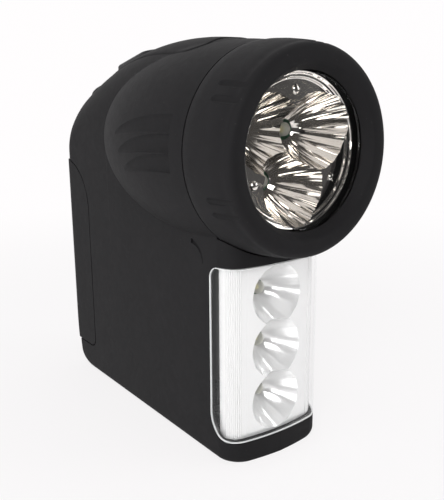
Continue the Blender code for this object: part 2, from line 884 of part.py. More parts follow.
# Screw posts: blind on the right, through and counterbored on the left
bury = inner_half_width + wall / 2
for number, place in enumerate(housing_screw_places, 1):
    join(housing_right, across(f"right_post_{number}", -1, post_outer_radius, gap, bury, place))
    cut(housing_right, across(f"right_pilot_{number}", -1, screw_radius + gap, 0, screw_reach + gap, place))
    join(housing_left, across(f"left_post_{number}", 1, post_outer_radius, gap, bury, place))
    cut(housing_left, across(f"left_clearance_{number}", 1, screw_radius + gap, 0, far, place))
    cut(housing_left, across(f"left_counterbore_{number}", 1, screw_head_radius + gap, head_seat, far, place))

# Posts for the circuit board on the right
for number, place in enumerate(board_post_places, 1):
    join(housing_right, across(f"board_post_{number}", -1, board_post_radius, board_back_face + gap, bury,
                               place))
    join(housing_right, across(f"board_peg_{number}", -1, board_peg_radius, board_face - overlap, bury,
                               place))

# Bearing, axle sockets and plate posts on the left
crank_place = (crank_depth, crank_height)
join(housing_left, across("bearing_ring", 1, bearing_radius, drive_gear_end + gap, bury, crank_place,
                          round_steps))
cut(housing_left, across("bearing_bore", 1, collar_radius + gap, 0, far, crank_place, round_steps))
for number, place in enumerate((first_axle_place, second_axle_place), 1):
    join(housing_left, across(f"axle_boss_{number}", 1, axle_boss_radius, axle_boss_face, bury, place))
    cut(housing_left, across(f"axle_socket_{number}", 1, axle_radius + gap, 0, axle_end + gap, place))
for number, place in enumerate(plate_screw_places, 1):
    join(housing_left, across(f"plate_post_{number}", 1, plate_post_radius, plate_back + gap, bury, place))
    cut(housing_left, across(f"plate_pilot_{number}", 1, screw_radius + gap, 0, plate_screw_end + gap, place))

for half in (housing_right, housing_left):
    paint(half, black_rubber)

# Bezel ring, lens and gasket

def bezel_grooves():
    """Pairs of shallow grooves round the bezel, each pair with a rib between, open at the rim."""
    bm = bmesh.new()
    length = grip_end_depth + overlap
    height = 4 * grip_groove_cut
    taper = math.atan2(bezel_back_radius - bezel_front_radius, bezel_belly_depth - bezel_rim_round)
    offset = (grip_rib_width + grip_groove_width) / 2
    for number in range(grip_count):
        turn = Matrix.Rotation(grip_turn + full_turn * number / grip_count, 4, "Y")
        for way in (-1, 1):
            made = bmesh.ops.create_cube(bm, size=1.0)["verts"]
            bmesh.ops.scale(bm, vec=(grip_groove_width, length, height), verts=made)
            bmesh.ops.translate(bm, vec=(0, length / 2 - overlap, height / 2 - grip_groove_cut), verts=made)
            bmesh.ops.transform(bm, matrix=Matrix.Rotation(taper, 4, "X"), verts=made)
            bmesh.ops.translate(bm, vec=(way * offset, 0, bezel_front_radius), verts=made)
            bmesh.ops.transform(bm, matrix=turn, verts=made)
    bmesh.ops.translate(bm, vec=Vector(head_axis), verts=bm.verts)
    return from_bmesh("bezel_grooves", bm, tools)


rim = arc((bezel_front_radius - bezel_rim_round, bezel_rim_round), bezel_rim_round, 0, -math.pi / 2, 3)
bezel_profile = [(bezel_back_radius, seam_depth), (bezel_back_radius, bezel_belly_depth)] + rim
bezel_profile += [
    (bezel_mouth_radius, 0),
    (lip_radius, lip_depth),
    (spigot_outer_radius + gap, lip_depth),
    (spigot_outer_radius + gap, seam_depth),
]
bezel = turned("bezel_ring", bezel_profile, head_axis, "Y", parts, fine_steps)
paint(cut(bezel, bezel_grooves()), black_rubber)

lens_front = lip_depth + skin_gap
lens_back = lens_front + lens_thickness
head_lens = rod("head_lens", lens_radius, lens_front, lens_back, head_axis, "Y", parts, round_steps)
paint(head_lens, clear_plastic)

gasket_front = lens_back + skin_gap
lens_gasket = tube("lens_gasket", lens_radius, lens_radius - gasket_width, gasket_front,
                   gasket_front + gasket_thickness, head_axis, "Y", parts, round_steps)
paint(lens_gasket, pad_rubber)


# Reflectors

def bowl_stations(mouth, hole, length, rings):
    """Radius and distance of each ring of a parabolic bowl, from its mouth to its hole."""
    stations = []
    for i in range(rings + 1):
        radius = mouth + (hole - mouth) * i / rings
        along = length * (mouth ** 2 - radius ** 2) / (mouth ** 2 - hole ** 2)
        stations.append((radius, along))
    return stations


def cup_shell(name, place, mouth, length, turn):
    """The outside of a cup, a plain bowl along +Y, as a solid."""
    hole = hole_radius + cup_wall
    bowl = bowl_stations(mouth + cup_wall, hole, length, cup_shell_rings)
    item = turned(name, [(0, length), *reversed(bowl), (0, 0)], place, "Y", tools, cup_shell_steps)
    item.rotation_euler.y = 2 * turn + cup_turn_share
    return item


def cup_hollow(name, place, mouth, length, flutes, front_extra, turn):
    """The inside of a cup: a parabola whose wall is folded into flutes."""
    stations = bowl_stations(mouth, hole_radius, length, cup_rings)
    flare = front_extra * (mouth ** 2 - hole_radius ** 2) / length
    stations[0] = (math.sqrt(mouth ** 2 + flare), -front_extra)
    stations.append((hole_radius, length + 2 * cup_wall))
    sections = []
    for radius, along in stations:
        ring = []
        for i in range(2 * flutes):
            angle = turn + full_turn * i / (2 * flutes)
            fold = flute_share * (radius - hole_radius) / (mouth - hole_radius) if i % 2 else 0
            r = radius * (1 - fold)
            ring.append((place[0] + r * math.cos(angle), place[1] + along, place[2] + r * math.sin(angle)))
        sections.append(ring)
    return loft(name, sections, tools)


def led(name, place):
    """A round LED that looks along -Y from its flange: flange, body and dome."""
    top = led_stand
    base = led_flange_thickness
    profile = [(0, base), (led_flange_radius, base), (led_flange_radius, 0), (led_radius, 0)]
    profile += arc((0, base - top + led_radius), led_radius, 0, -math.pi / 2, 3)[:-1]
    lamp = turned(name, profile + [(0, base - top)], place, "Y", parts, small_steps)
    return paint(lamp, led_epoxy)


plate_front = spigot_front - skin_gap - reflector_plate_thickness
cup_front = plate_front + reflector_step
reflector_profile = [
    (0, cup_front + reflector_plate_thickness),
    (reflector_rim_radius + reflector_plate_thickness, cup_front + reflector_plate_thickness),
    (reflector_rim_radius + reflector_plate_thickness, plate_front + reflector_plate_thickness),
    (lens_radius, plate_front + reflector_plate_thickness),
    (lens_radius, plate_front),
    (reflector_rim_radius, plate_front),
    (reflector_rim_radius, cup_front),
    (0, cup_front),
]
head_reflector = turned("head_reflector", reflector_profile, head_axis, "Y", parts, fine_steps)
hole_radius = led_radius + led_hole_clearance
led_front = cup_front + cup_depth + cup_wall + skin_gap
head_board_front = led_front + led_flange_thickness + skin_gap
head_led_places = []
for number in range(cup_count):
    angle = math.pi / 6 + full_turn * number / cup_count
    across_x = cup_circle_radius * math.cos(angle)
    up_z = head_axis_height + cup_circle_radius * math.sin(angle)
    head_led_places.append((across_x, up_z))
    turn = angle + cup_turn_share * number
    shell_place = (across_x, depth(cup_front + skin_gap), up_z)
    shell_length = cup_depth + cup_wall - skin_gap
    join(head_reflector, cup_shell(f"head_cup_shell_{number + 1}", shell_place, cup_mouth_radius,
                                   shell_length, turn))
for number, (across_x, up_z) in enumerate(head_led_places, 1):
    place = (across_x, depth(cup_front), up_z)
    turn = math.pi / 6 + (full_turn / cup_count + cup_turn_share) * (number - 1)
    hollow = cup_hollow(f"head_cup_{number}", place, cup_mouth_radius, cup_depth, cup_flutes,
                        reflector_step + overlap, turn)
    cut(head_reflector, hollow)
for number in range(cup_count):
    angle = math.pi / 2 + full_turn * number / cup_count
    post_x = post_circle_radius * math.cos(angle)
    place = (post_x, front_y, head_axis_height + post_circle_radius * math.sin(angle))
    post_start = cup_front + 2 * skin_gap
    post_end = head_board_front - skin_gap
    join(head_reflector, rod(f"reflector_post_{number + 1}", post_radius, post_start, post_end, place, "Y",
                             tools))
    dimple_start = cup_front - dimple_height
    dimple_end = cup_front + skin_gap
    join(head_reflector, rod(f"reflector_dimple_{number + 1}", dimple_radius, dimple_start, dimple_end,
                             place, "Y", tools))
paint(head_reflector, chrome)

for number, (across_x, up_z) in enumerate(head_led_places, 1):
    led(f"head_led_{number}", (across_x, depth(led_front), up_z))
head_board = rod("head_led_board", head_board_radius, head_board_front, head_board_front + board_thickness,
                 head_axis, "Y", parts, round_steps)
paint(head_board, board_green)

# Side lamp: clear cover, reflector with three cups, LEDs and board

window = body_form("window_form", 0.0)
cut(window, body_form("window_inner_form", window_wall))
side_lamp_cover = prism("side_lamp_cover", window_outline(0.0), -far, far, "X", parts)
paint(keep(side_lamp_cover, window), clear_plastic)

lamp_inset = wall + skin_gap
lamp_skin = body_form("lamp_reflector_form", lamp_inset)
cut(lamp_skin, body_form("lamp_reflector_inner", lamp_inset + lamp_plate_thickness))
lamp_low = window_bottom_height + skin_gap
lamp_high = window_top_height - skin_gap
side_reflector = box("side_reflector", (-far, depth(0), lamp_low),
                     (far, depth(lamp_back_depth), lamp_high), parts)
keep(side_reflector, lamp_skin)
lamp_cup_front = slab_front_depth + lamp_inset
lamp_middle = (window_bottom_height + window_top_height) / 2
lamp_led_front = lamp_cup_front + lamp_cup_depth + cup_wall + skin_gap
lamp_board_front = lamp_led_front + led_flange_thickness + skin_gap
lamp_heights = [lamp_middle + (number - 1) * lamp_cup_pitch for number in range(cup_count)]
for number, height in enumerate(lamp_heights, 1):
    turn = cup_turn_share * number
    place = (0, depth(lamp_cup_front + lamp_bow_sink), height)
    shell = cup_shell(f"lamp_cup_shell_{number}", place, lamp_cup_mouth_radius,
                      lamp_cup_depth + cup_wall - lamp_bow_sink, turn)
    join(side_reflector, shell)
for number, height in enumerate(lamp_heights, 1):
    turn = cup_turn_share * number
    place = (0, depth(lamp_cup_front), height)
    hollow = cup_hollow(f"lamp_cup_{number}", place, lamp_cup_mouth_radius, lamp_cup_depth, lamp_cup_flutes,
                        overlap, turn)
    cut(side_reflector, hollow)
paint(side_reflector, chrome)
for number, height in enumerate(lamp_heights, 1):
    led(f"side_led_{number}", (0, depth(lamp_led_front), height))
board_reach = lamp_cup_pitch + lamp_board_half_width
side_board = box("side_led_board",
                 (-lamp_board_half_width, depth(lamp_board_front), lamp_middle - board_reach),
                 (lamp_board_half_width, depth(lamp_board_front + board_thickness),
                  lamp_middle + board_reach),
                 parts)
paint(side_board, board_green)

# Switch pad, buttons and switches

pad_form = body_form("pad_form", -pad_proud)
cut(pad_form, body_form("pad_under_form", pad_recess - skin_gap))
switch_pad = prism("switch_pad", pad_outline(0.0), head_axis_height, far, "Z", parts)
keep(switch_pad, pad_form)
cut(switch_pad, prism("spot_button_hole", spot_button_outline(gap), head_axis_height, far, "Z", tools))
paint(switch_pad, pad_rubber)

wedge_side = [
    (depth(spot_button_front_depth - overlap), head_axis_height),
    (depth(spot_button_back_depth + overlap), head_axis_height),
    (depth(spot_button_back_depth + overlap), crown_line(spot_button_back_depth, 0.0) + spot_button_proud),
]
for i in range(wedge_steps + 1):
    share = i / wedge_steps
    y_depth = spot_button_back_depth + (spot_button_front_depth - spot_button_back_depth) * share
    proud = spot_button_proud + (spot_button_front_proud - spot_button_proud) * share
    wedge_side.append((depth(y_depth), crown_line(y_depth, 0.0) + proud))
wedge_side.append((depth(spot_button_front_depth - overlap), wedge_side[-1][1]))
spot_button = prism("spot_button", spot_button_outline(0.0), head_axis_height, far, "Z", parts)
keep(spot_button, prism("spot_button_side", wedge_side, -far, far, "X", tools))
cut(spot_button, outer_form)
join(spot_button, rod("spot_stem", stem_radius, -stem_length, overlap, spot_place, "Z", tools))
paint(spot_button, black_plastic)
set_origin(spot_button, spot_place)

lamp_button_rings = [(0, -lamp_button_skirt)]
lamp_button_rings += arc((lamp_button_round, lamp_button_proud - lamp_button_round), lamp_button_round,
                         math.pi, math.pi / 2, 4)
lamp_button = lean(oval("lamp_button", lamp_button_rings, parts), lamp_place)
lamp_stem = rod("lamp_stem", stem_radius, -stem_length, overlap - lamp_button_skirt, (0, 0, 0), "Z", tools)
join(lamp_button, lean(lamp_stem, lamp_place))
paint(lamp_button, black_plastic)


def push_switch(name, tilted):
    """A small push switch: body and plunger, its top just clear of the pressed button's stem."""
    top = -stem_length - button_travel - gap
    half = switch_size / 2
    low = top - switch_plunger_height - switch_height
    item = box(name, (-half, -half, low), (half, half, low + switch_height), parts)
    plunger = rod(name + "_plunger", switch_plunger_radius, low + switch_height - overlap, top, (0, 0, 0),
                  "Z", tools)
    if tilted:
        lean(item, lamp_place)
        lean(plunger, lamp_place)
    else:
        item.location = spot_place
        plunger.location = spot_place
    join(item, plunger)
    return paint(item, switch_black)


push_switch("spot_switch", False)
push_switch("lamp_switch", True)


def ribbon(points, thickness):
    """Outline of a bent strip that lies below the given run of points."""
    lower = []
    for i, point in enumerate(points):
        before = Vector(points[max(i - 1, 0)])
        after = Vector(points[min(i + 1, len(points) - 1)])
        here = Vector(point)
        first = (here - before).normalized() if i else (after - here).normalized()
        second = (after - here).normalized() if i < len(points) - 1 else first
        middle = (first + second).normalized()
        normal = Vector((middle.y, -middle.x))
        lower.append(here + normal * thickness / max(first.dot(middle), overlap / far))
    return list(points) + [tuple(point) for point in reversed(lower)]


inward = Vector((-math.cos(lamp_button_angle), -math.sin(lamp_button_angle)))
tangent = Vector((math.sin(lamp_button_angle), -math.cos(lamp_button_angle)))
seat = Vector((lamp_place.y, lamp_place.z)) + inward * switch_drop
reach = switch_size / 2 + overlap
bend_start = seat - tangent * reach
bend_end = seat + tangent * reach
bracket_line = [
    (depth(spot_button_depth) - bracket_front_reach, bracket_height),
    (bend_start.x - (bracket_height - bend_start.y) / 2 - overlap, bracket_height),
    tuple(bend_start),
    tuple(bend_end),
]
bracket_outline = ribbon(bracket_line, bracket_thickness)
switch_bracket = prism("switch_bracket", bracket_outline, -bracket_half_width, bracket_half_width, "X", parts)
paint(switch_bracket, grey_plastic)

# Rear cover, battery holder, contacts and cells

cover_shell = body_form("cover_form", 0.0)
cut(cover_shell, body_form("cover_inner_form", wall, inner_detail_share))
cover_shell.location.y = cover_proud
rear_cover = prism("rear_cover", cover_outline(0.0), -far, far, "X", parts)
keep(rear_cover, cover_shell)
paint(rear_cover, black_rubber)
set_origin(rear_cover, (0, depth(total_length), cover_bottom_height))

holder_half_width = inner_half_width - gap
holder_back = cell_depth + cell_radius
low_shelf_top = cell_bottom_height - contact_dome_height - contact_thickness - 2 * skin_gap
high_shelf_bottom = cell_bottom_height + cell_length + cell_tip_height + contact_thickness + 2 * skin_gap
holder_front = cell_depth - cell_radius - skin_gap - holder_thickness
holder_face = holder_front + holder_thickness
battery_holder = box("battery_holder", (-holder_half_width, depth(holder_front), wall + floor_edge_radius),
                     (holder_half_width, depth(holder_face), cover_top_height - holder_thickness), parts)
shelves = (("holder_low_shelf", low_shelf_top - holder_thickness), ("holder_high_shelf", high_shelf_bottom))
for name, low in shelves:
    join(battery_holder, box(name, (-holder_half_width, depth(holder_front + overlap), low),
                             (holder_half_width, depth(holder_back), low + holder_thickness), tools))
for side, label in ((-1, "right"), (1, "left")):
    ends = sorted((side * holder_half_width, side * (holder_half_width - holder_thickness / 2)))
    cheek_start = (ends[0], depth(holder_front + overlap), low_shelf_top - overlap)
    cheek_end = (ends[1], depth(cell_depth), high_shelf_bottom + overlap)
    join(battery_holder, box(f"holder_cheek_{label}", cheek_start, cheek_end, tools))
paint(battery_holder, black_plastic)

cell_row = [(number - (cell_count - 1) / 2) * cell_pitch for number in range(cell_count)]
contact_reach = cell_row[-1] + cell_radius - overlap
contact_front = cell_depth - cell_radius + overlap
contact_back = cell_depth + cell_radius - overlap
low_contact = box("low_contact", (-contact_reach, depth(contact_front), low_shelf_top + skin_gap),
                  (contact_reach, depth(contact_back), low_shelf_top + skin_gap + contact_thickness), parts)
for number, x in enumerate(cell_row, 1):
    dome_profile = [(0, contact_dome_height), (contact_dome_radius / 2, contact_dome_height),
                    (contact_dome_radius, 0), (0, 0)]
    dome = turned(f"contact_dome_{number}", dome_profile,
                  (x, depth(cell_depth), low_shelf_top + skin_gap + contact_thickness / 2), "Z", tools,
                  small_steps)
    join(low_contact, dome)
paint(low_contact, brass)
high_contact_top = high_shelf_bottom - skin_gap
high_contact_start = (-contact_reach, depth(contact_front), high_contact_top - contact_thickness)
high_contact_end = (contact_reach, depth(contact_back), high_contact_top)
high_contact = box("high_contact", high_contact_start, high_contact_end, parts)
paint(high_contact, brass)

for number, x in enumerate(cell_row, 1):
    cell_profile = [
        (0, cell_length + cell_tip_height),
        (cell_tip_radius, cell_length + cell_tip_height),
        (cell_tip_radius, cell_length),
        (cell_radius, cell_length),
        (cell_radius, 0),
        (0, 0),
    ]
    cell_place = (x, depth(cell_depth), cell_bottom_height)
    paint(turned(f"battery_cell_{number}", cell_profile, cell_place, "Z", parts, small_steps), cell_sleeve)


# Gears

def gear_outline(teeth, place, phase):
    """Outline of a spur gear in the side view, with stubbed involute teeth."""
    pitch = gear_module * teeth / 2
    base = pitch * math.cos(pressure_angle)
    tip = pitch + addendum_share * gear_module
    root = pitch - dedendum_share * gear_module
    half_tooth = math.pi / (2 * teeth) - backlash / (2 * pitch)
    involute = math.tan(pressure_angle) - pressure_angle
    outline = []
    flank = []
    for radius in (root, tip):
        pressure = math.acos(min(base / max(radius, base), 1))
        flank.append((radius, half_tooth + involute - (math.tan(pressure) - pressure)))
    for tooth in range(teeth):
        middle = phase + full_turn * tooth / teeth
        for radius, half in flank:
            outline.append((radius, middle - half))
        for radius, half in reversed(flank):
            outline.append((radius, middle + half))
    y, z = depth(place[0]), place[1]
    return [(y + radius * math.cos(angle), z + radius * math.sin(angle)) for radius, angle in outline]


def meshed_phase(teeth_a, phase_a, direction, teeth_b):
    """Phase at which gear B's gap meets gear A's tooth, B lying in this direction from A."""
    share = (teeth_a * (direction - phase_a) / full_turn) % 1
    return direction + math.pi - full_turn * (0.5 - share) / teeth_b


def compound_gear(name, place, wheel_start, pinion_end, wheel_phase, pinion_phase):
    """A wheel and a pinion on one hub, bored for its axle."""
    wheel_end = wheel_start + gear_thickness
    item = prism(name, gear_outline(wheel_teeth, place, wheel_phase), wheel_start, wheel_end, "X", parts)
    pinion_outline = gear_outline(pinion_teeth, place, pinion_phase)
    join(item, prism(name + "_pinion", pinion_outline, wheel_end - overlap, pinion_end, "X", tools))
    join(item, across(name + "_hub", 1, gear_hub_radius, plate_back + gap, axle_boss_face - gap, place))
    cut(item, across(name + "_bore", 1, axle_radius + axle_gap, 0, far, place))
    paint(item, gear_nylon)
    return set_origin(item, side_place(place))


first_pinion_phase = meshed_phase(drive_teeth, 0, first_stage_angle, pinion_teeth)
second_pinion_phase = meshed_phase(wheel_teeth, 0, second_stage_angle, pinion_teeth)
rotor_phase = meshed_phase(wheel_teeth, 0, third_stage_angle, pinion_teeth)

drive_outline = gear_outline(drive_teeth, crank_place, 0)
drive_gear = prism("drive_gear", drive_outline, drive_gear_start, drive_gear_end, "X", parts)
collar_start = drive_gear_end - overlap
join(drive_gear, across("drive_collar", 1, collar_radius, collar_start, collar_end, crank_place, round_steps))
join(drive_gear, across("drive_shaft", 1, shaft_radius, plate_back + gap, drive_gear_start + overlap,
                        crank_place))
join(drive_gear, across("drive_tip", 1, tip_radius, plate_face - skin_gap, plate_back + 2 * gap, crank_place))
cut(drive_gear, across("spline_socket", 1, spline_radius + gap, collar_end - spline_length - gap, far,
                       crank_place))
cut(drive_gear, across("drive_bore", 1, screw_radius + gap, crank_screw_start - gap, far, crank_place))
paint(drive_gear, gear_nylon)
set_origin(drive_gear, side_place(crank_place))

first_pinion_end = drive_gear_end + gear_overlap
second_pinion_end = first_wheel_start + gear_thickness + gear_overlap
compound_gear("compound_gear_1", first_axle_place, first_wheel_start, first_pinion_end, 0, first_pinion_phase)
compound_gear("compound_gear_2", second_axle_place, second_wheel_start, second_pinion_end, 0,
              second_pinion_phase)

for number, place in enumerate((first_axle_place, second_axle_place), 1):
    axle = rod(f"gear_axle_{number}", axle_radius, plate_face - skin_gap, axle_end, side_place(place), "X",
               parts)
    paint(axle, steel)

# Gear plate with the generator on its far side


def hull(points):
    """Convex outline round a set of points."""
    ordered = sorted(points)
    chains = []
    for run in (ordered, ordered[::-1]):
        chain = []
        for point in run:
            while len(chain) > 1:
                (ax, ay), (bx, by) = chain[-2:]
                if (bx - ax) * (point[1] - ay) - (by - ay) * (point[0] - ax) > 0:
                    break
                chain.pop()
            chain.append(point)
        chains += chain[:-1]
    return chains


def lobes(places, radius, count=12):
    """Points on circles round the given (depth, height) places."""
    points = []
    for place in places:
        points += arc((depth(place[0]), place[1]), radius, 0, full_turn * (count - 1) / count, count - 1)
    return points


plate_places = plate_screw_places + (crank_place, first_axle_place, second_axle_place, rotor_place)
gear_plate = prism("gear_plate", hull(lobes(plate_places, plate_lobe_radius)), plate_face, plate_back, "X",
                   parts)
cut(gear_plate, across("plate_bearing", 1, tip_radius + gap, 0, far, crank_place))
cut(gear_plate, across("plate_shaft_hole", 1, rotor_shaft_radius + gap, 0, far, rotor_place))
for number, place in enumerate((first_axle_place, second_axle_place), 1):
    cut(gear_plate, across(f"plate_axle_hole_{number}", 1, axle_radius + gap, 0, far, place))
for number, place in enumerate(plate_screw_places, 1):
    cut(gear_plate, across(f"plate_screw_hole_{number}", 1, screw_radius + gap, 0, far, place))
paint(gear_plate, grey_plastic)

generator_end = plate_face - skin_gap
generator_start = generator_end - generator_length
lid_start = generator_end - generator_wall
can_profile = [
    (rotor_shaft_radius + gap, generator_start),
    (generator_radius, generator_start),
    (generator_radius, lid_start - skin_gap),
    (generator_radius - generator_wall, lid_start - skin_gap),
    (generator_radius - generator_wall, generator_start + generator_wall),
    (rotor_shaft_radius + gap, generator_start + generator_wall),
]
rotor_point = side_place(rotor_place)
paint(turned("generator_can", can_profile, rotor_point, "X", parts), steel)
shaft_hole_radius = rotor_shaft_radius + gap
generator_lid = tube("generator_lid", generator_radius, shaft_hole_radius, lid_start, generator_end,
                     rotor_point, "X", parts)
paint(generator_lid, steel)
coil_outer = generator_radius - generator_wall - skin_gap
coil_start = generator_start + generator_wall + skin_gap
coil_end = lid_start - 2 * skin_gap
coil_inner = coil_outer - coil_thickness
paint(tube("generator_coil", coil_outer, coil_inner, coil_start, coil_end, rotor_point, "X", parts), copper)
magnet_start = coil_start + overlap
magnet_end = coil_end - overlap
rotor_profile = [
    (0, rotor_end),
    (rotor_shaft_radius, rotor_end),
    (rotor_shaft_radius, magnet_end),
    (magnet_radius, magnet_end),
    (magnet_radius, magnet_start),
    (rotor_shaft_radius, magnet_start),
    (rotor_shaft_radius, generator_start),
    (0, generator_start),
]
rotor = turned("generator_rotor", rotor_profile, rotor_point, "X", parts)
rotor_pinion = prism("rotor_pinion", gear_outline(pinion_teeth, rotor_place, rotor_phase),
                     second_wheel_start - gear_overlap, second_pinion_end, "X", parts)
cut(rotor_pinion, across("rotor_pinion_bore", 1, rotor_shaft_radius + pinion_bore_gap, 0, far, rotor_place))
paint(rotor, magnet_black)
paint(rotor_pinion, brass)
set_origin(rotor_pinion, rotor_point)

# Circuit board and capacitor

circuit_board = box("circuit_board", (-board_back_face, depth(board_front_depth), board_bottom_height),
                    (-board_face, depth(board_back_depth), board_top_height), parts)
for number, place in enumerate(board_post_places, 1):
    cut(circuit_board, across(f"board_hole_{number}", -1, board_peg_radius + gap, 0, bury, place))
paint(circuit_board, board_green)
capacitor = rod("capacitor", capacitor_radius, -board_face + skin_gap,
                -board_face + skin_gap + capacitor_length, side_place(capacitor_place), "X", parts)
paint(capacitor, magnet_black)

# Crank arm with its folding handle, at rest hanging down along the left wall

arm_start = collar_end + gap
arm_end = arm_start + crank_thickness
arm_middle = (arm_start + arm_end) / 2
hub_y, hub_z = depth(crank_depth), crank_height
pivot_z = hub_z - crank_reach
slot_half_width = handle_radius + gap
arm_end_radius = slot_half_width + crank_rail_width
arm_outline = hull(arc((hub_y, hub_z), crank_hub_radius, 0, full_turn * 17 / 18, 17)
                   + arc((hub_y, pivot_z + crank_end_setback), arm_end_radius, 0, full_turn * 17 / 18, 17))
crank_arm = prism("crank_arm", arm_outline, arm_start, arm_end, "X", parts)
bevel = crank_arm.modifiers.new("Rounded rims", "BEVEL")
bevel.width = crank_rim_round
bevel.segments = 2
bevel.limit_method = "ANGLE"
bevel.angle_limit = math.radians(60)
slot_top = pivot_z + knuckle_radius + gap + handle_length + spindle_head_length + 3 * gap
cut(crank_arm, box("handle_slot", (0, hub_y - slot_half_width, -far),
                   (far, hub_y + slot_half_width, slot_top), tools))
pivot_place = (arm_middle, hub_y, pivot_z)
cut(crank_arm, rod("pivot_hole", pivot_pin_radius + gap, -far, far, pivot_place, "Y", tools))
spline = across("spline", 1, spline_radius, collar_end - spline_length, arm_start + overlap, crank_place)
join(crank_arm, spline)
cut(crank_arm, across("arm_bore", 1, screw_radius + gap, 0, far, crank_place))
screw_seat = arm_end - screw_head_height - gap
cut(crank_arm, across("arm_counterbore", 1, screw_head_radius + gap, screw_seat, far, crank_place))
paint(crank_arm, black_plastic)
set_origin(crank_arm, side_place(crank_place))

swivel = rod("handle_swivel", knuckle_radius, -handle_radius, handle_radius, pivot_place, "Y", parts,
             round_steps)
handle_start = knuckle_radius + gap
spindle_top = handle_start + handle_length + gap
spindle_profile = [
    (0, spindle_top + spindle_head_length),
    (spindle_head_radius, spindle_top + spindle_head_length),
    (spindle_head_radius, spindle_top),
    (spindle_radius, spindle_top),
    (spindle_radius, overlap),
    (0, overlap),
]
join(swivel, turned("spindle", spindle_profile, pivot_place, "Z", tools, small_steps))
cut(swivel, rod("swivel_bore", pivot_pin_radius + gap, -far, far, pivot_place, "Y", tools))
paint(swivel, grey_plastic)

pin_half = arm_end_radius - skin_gap
paint(rod("handle_pivot_pin", pivot_pin_radius, -pin_half, pin_half, pivot_place, "Y", parts), steel)

handle_end = handle_start + handle_length
handle_profile = [(spindle_radius + gap, handle_end)]
handle_profile += arc((handle_radius - handle_round, handle_end - handle_round), handle_round,
                      math.pi / 2, 0, 3)
handle_profile += arc((handle_radius - handle_round, handle_start + handle_round), handle_round, 0,
                      -math.pi / 2, 3)
handle_profile += [(spindle_radius + gap, handle_start)]
handle = turned("crank_handle", handle_profile, pivot_place, "Z", parts)
paint(handle, black_rubber)

# Screws


def screw(name, place, seat, point, way):
    """A slotted screw along X: its head rests on the seat and its shank ends at the point."""
    head = seat + way * screw_head_height
    profile = [(0, head), (screw_head_radius, head), (screw_head_radius, seat)]
    profile += [(screw_radius, seat), (screw_radius, point), (0, point)]
    item = turned(name, profile, side_place(place), "X", parts, small_steps)
    y, z = depth(place[0]), place[1]
    half = screw_slot_width / 2
    ends = sorted((head - way * screw_slot_width, head + way * overlap))
    slot = box(name + "_slot", (ends[0], y - half, z - far), (ends[1], y + half, z + far), tools)
    return paint(cut(item, slot), steel)


for number, place in enumerate(housing_screw_places, 1):
    screw(f"housing_screw_{number}", place, head_seat + gap, -screw_reach, 1)
for number, place in enumerate(plate_screw_places, 1):
    screw(f"plate_screw_{number}", place, plate_face - skin_gap, plate_screw_end, -1)
screw("crank_screw", crank_place, screw_seat + skin_gap, crank_screw_start, 1)
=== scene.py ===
"""Dresses the wind-up flashlight's frame with smooth skins and finishes, and sets its studio.

The beam points to -Y, +Z is up and the crank is at +X. Depths are measured back from the
bezel's front rim, along +Y. Every new piece rides on a body of the frame.
"""

import math

import bmesh
import bpy
from bpy.props import FloatProperty, FloatVectorProperty, PointerProperty
from mathutils import Matrix, Vector


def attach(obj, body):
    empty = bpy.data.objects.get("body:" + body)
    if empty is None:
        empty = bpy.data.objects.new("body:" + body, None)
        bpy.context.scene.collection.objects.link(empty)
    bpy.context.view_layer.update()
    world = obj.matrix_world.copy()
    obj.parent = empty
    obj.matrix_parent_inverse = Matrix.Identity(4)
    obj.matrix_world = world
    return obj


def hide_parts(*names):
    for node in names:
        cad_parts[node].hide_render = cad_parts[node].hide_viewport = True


bl_info = {
    "name": "Wind-up Flashlight",
    "version": (1, 0, 0),
    "blender": (4, 5, 0),
    "location": "3D View > Sidebar > Flashlight",
    "description": "Dresses a wind-up flashlight's frame and sets its studio",
    "category": "Object",
}

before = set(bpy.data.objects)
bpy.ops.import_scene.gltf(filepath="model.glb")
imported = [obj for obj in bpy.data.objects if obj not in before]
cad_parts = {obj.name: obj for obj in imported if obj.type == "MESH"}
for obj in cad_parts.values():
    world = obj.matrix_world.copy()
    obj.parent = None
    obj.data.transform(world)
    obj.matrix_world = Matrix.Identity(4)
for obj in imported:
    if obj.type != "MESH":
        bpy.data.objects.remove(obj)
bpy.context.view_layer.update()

MM = 0.001
GAP = 0.35 * MM
SKIN_GAP = 0.3 * MM
OVERLAP = 0.5 * MM
SEAM = 0.03 * MM
FAR = 200.0 * MM
WELD = 0.001 * MM
FULL_TURN = 2 * math.pi
QUARTER = math.pi / 2


def size(name, text, default):
    return FloatProperty(name=name, description=text, default=default, unit="LENGTH", precision=5)


def colour(name, text, default):
    return FloatVectorProperty(name=name, description=text, default=default, subtype="COLOR", size=3,
                               min=0, max=1)


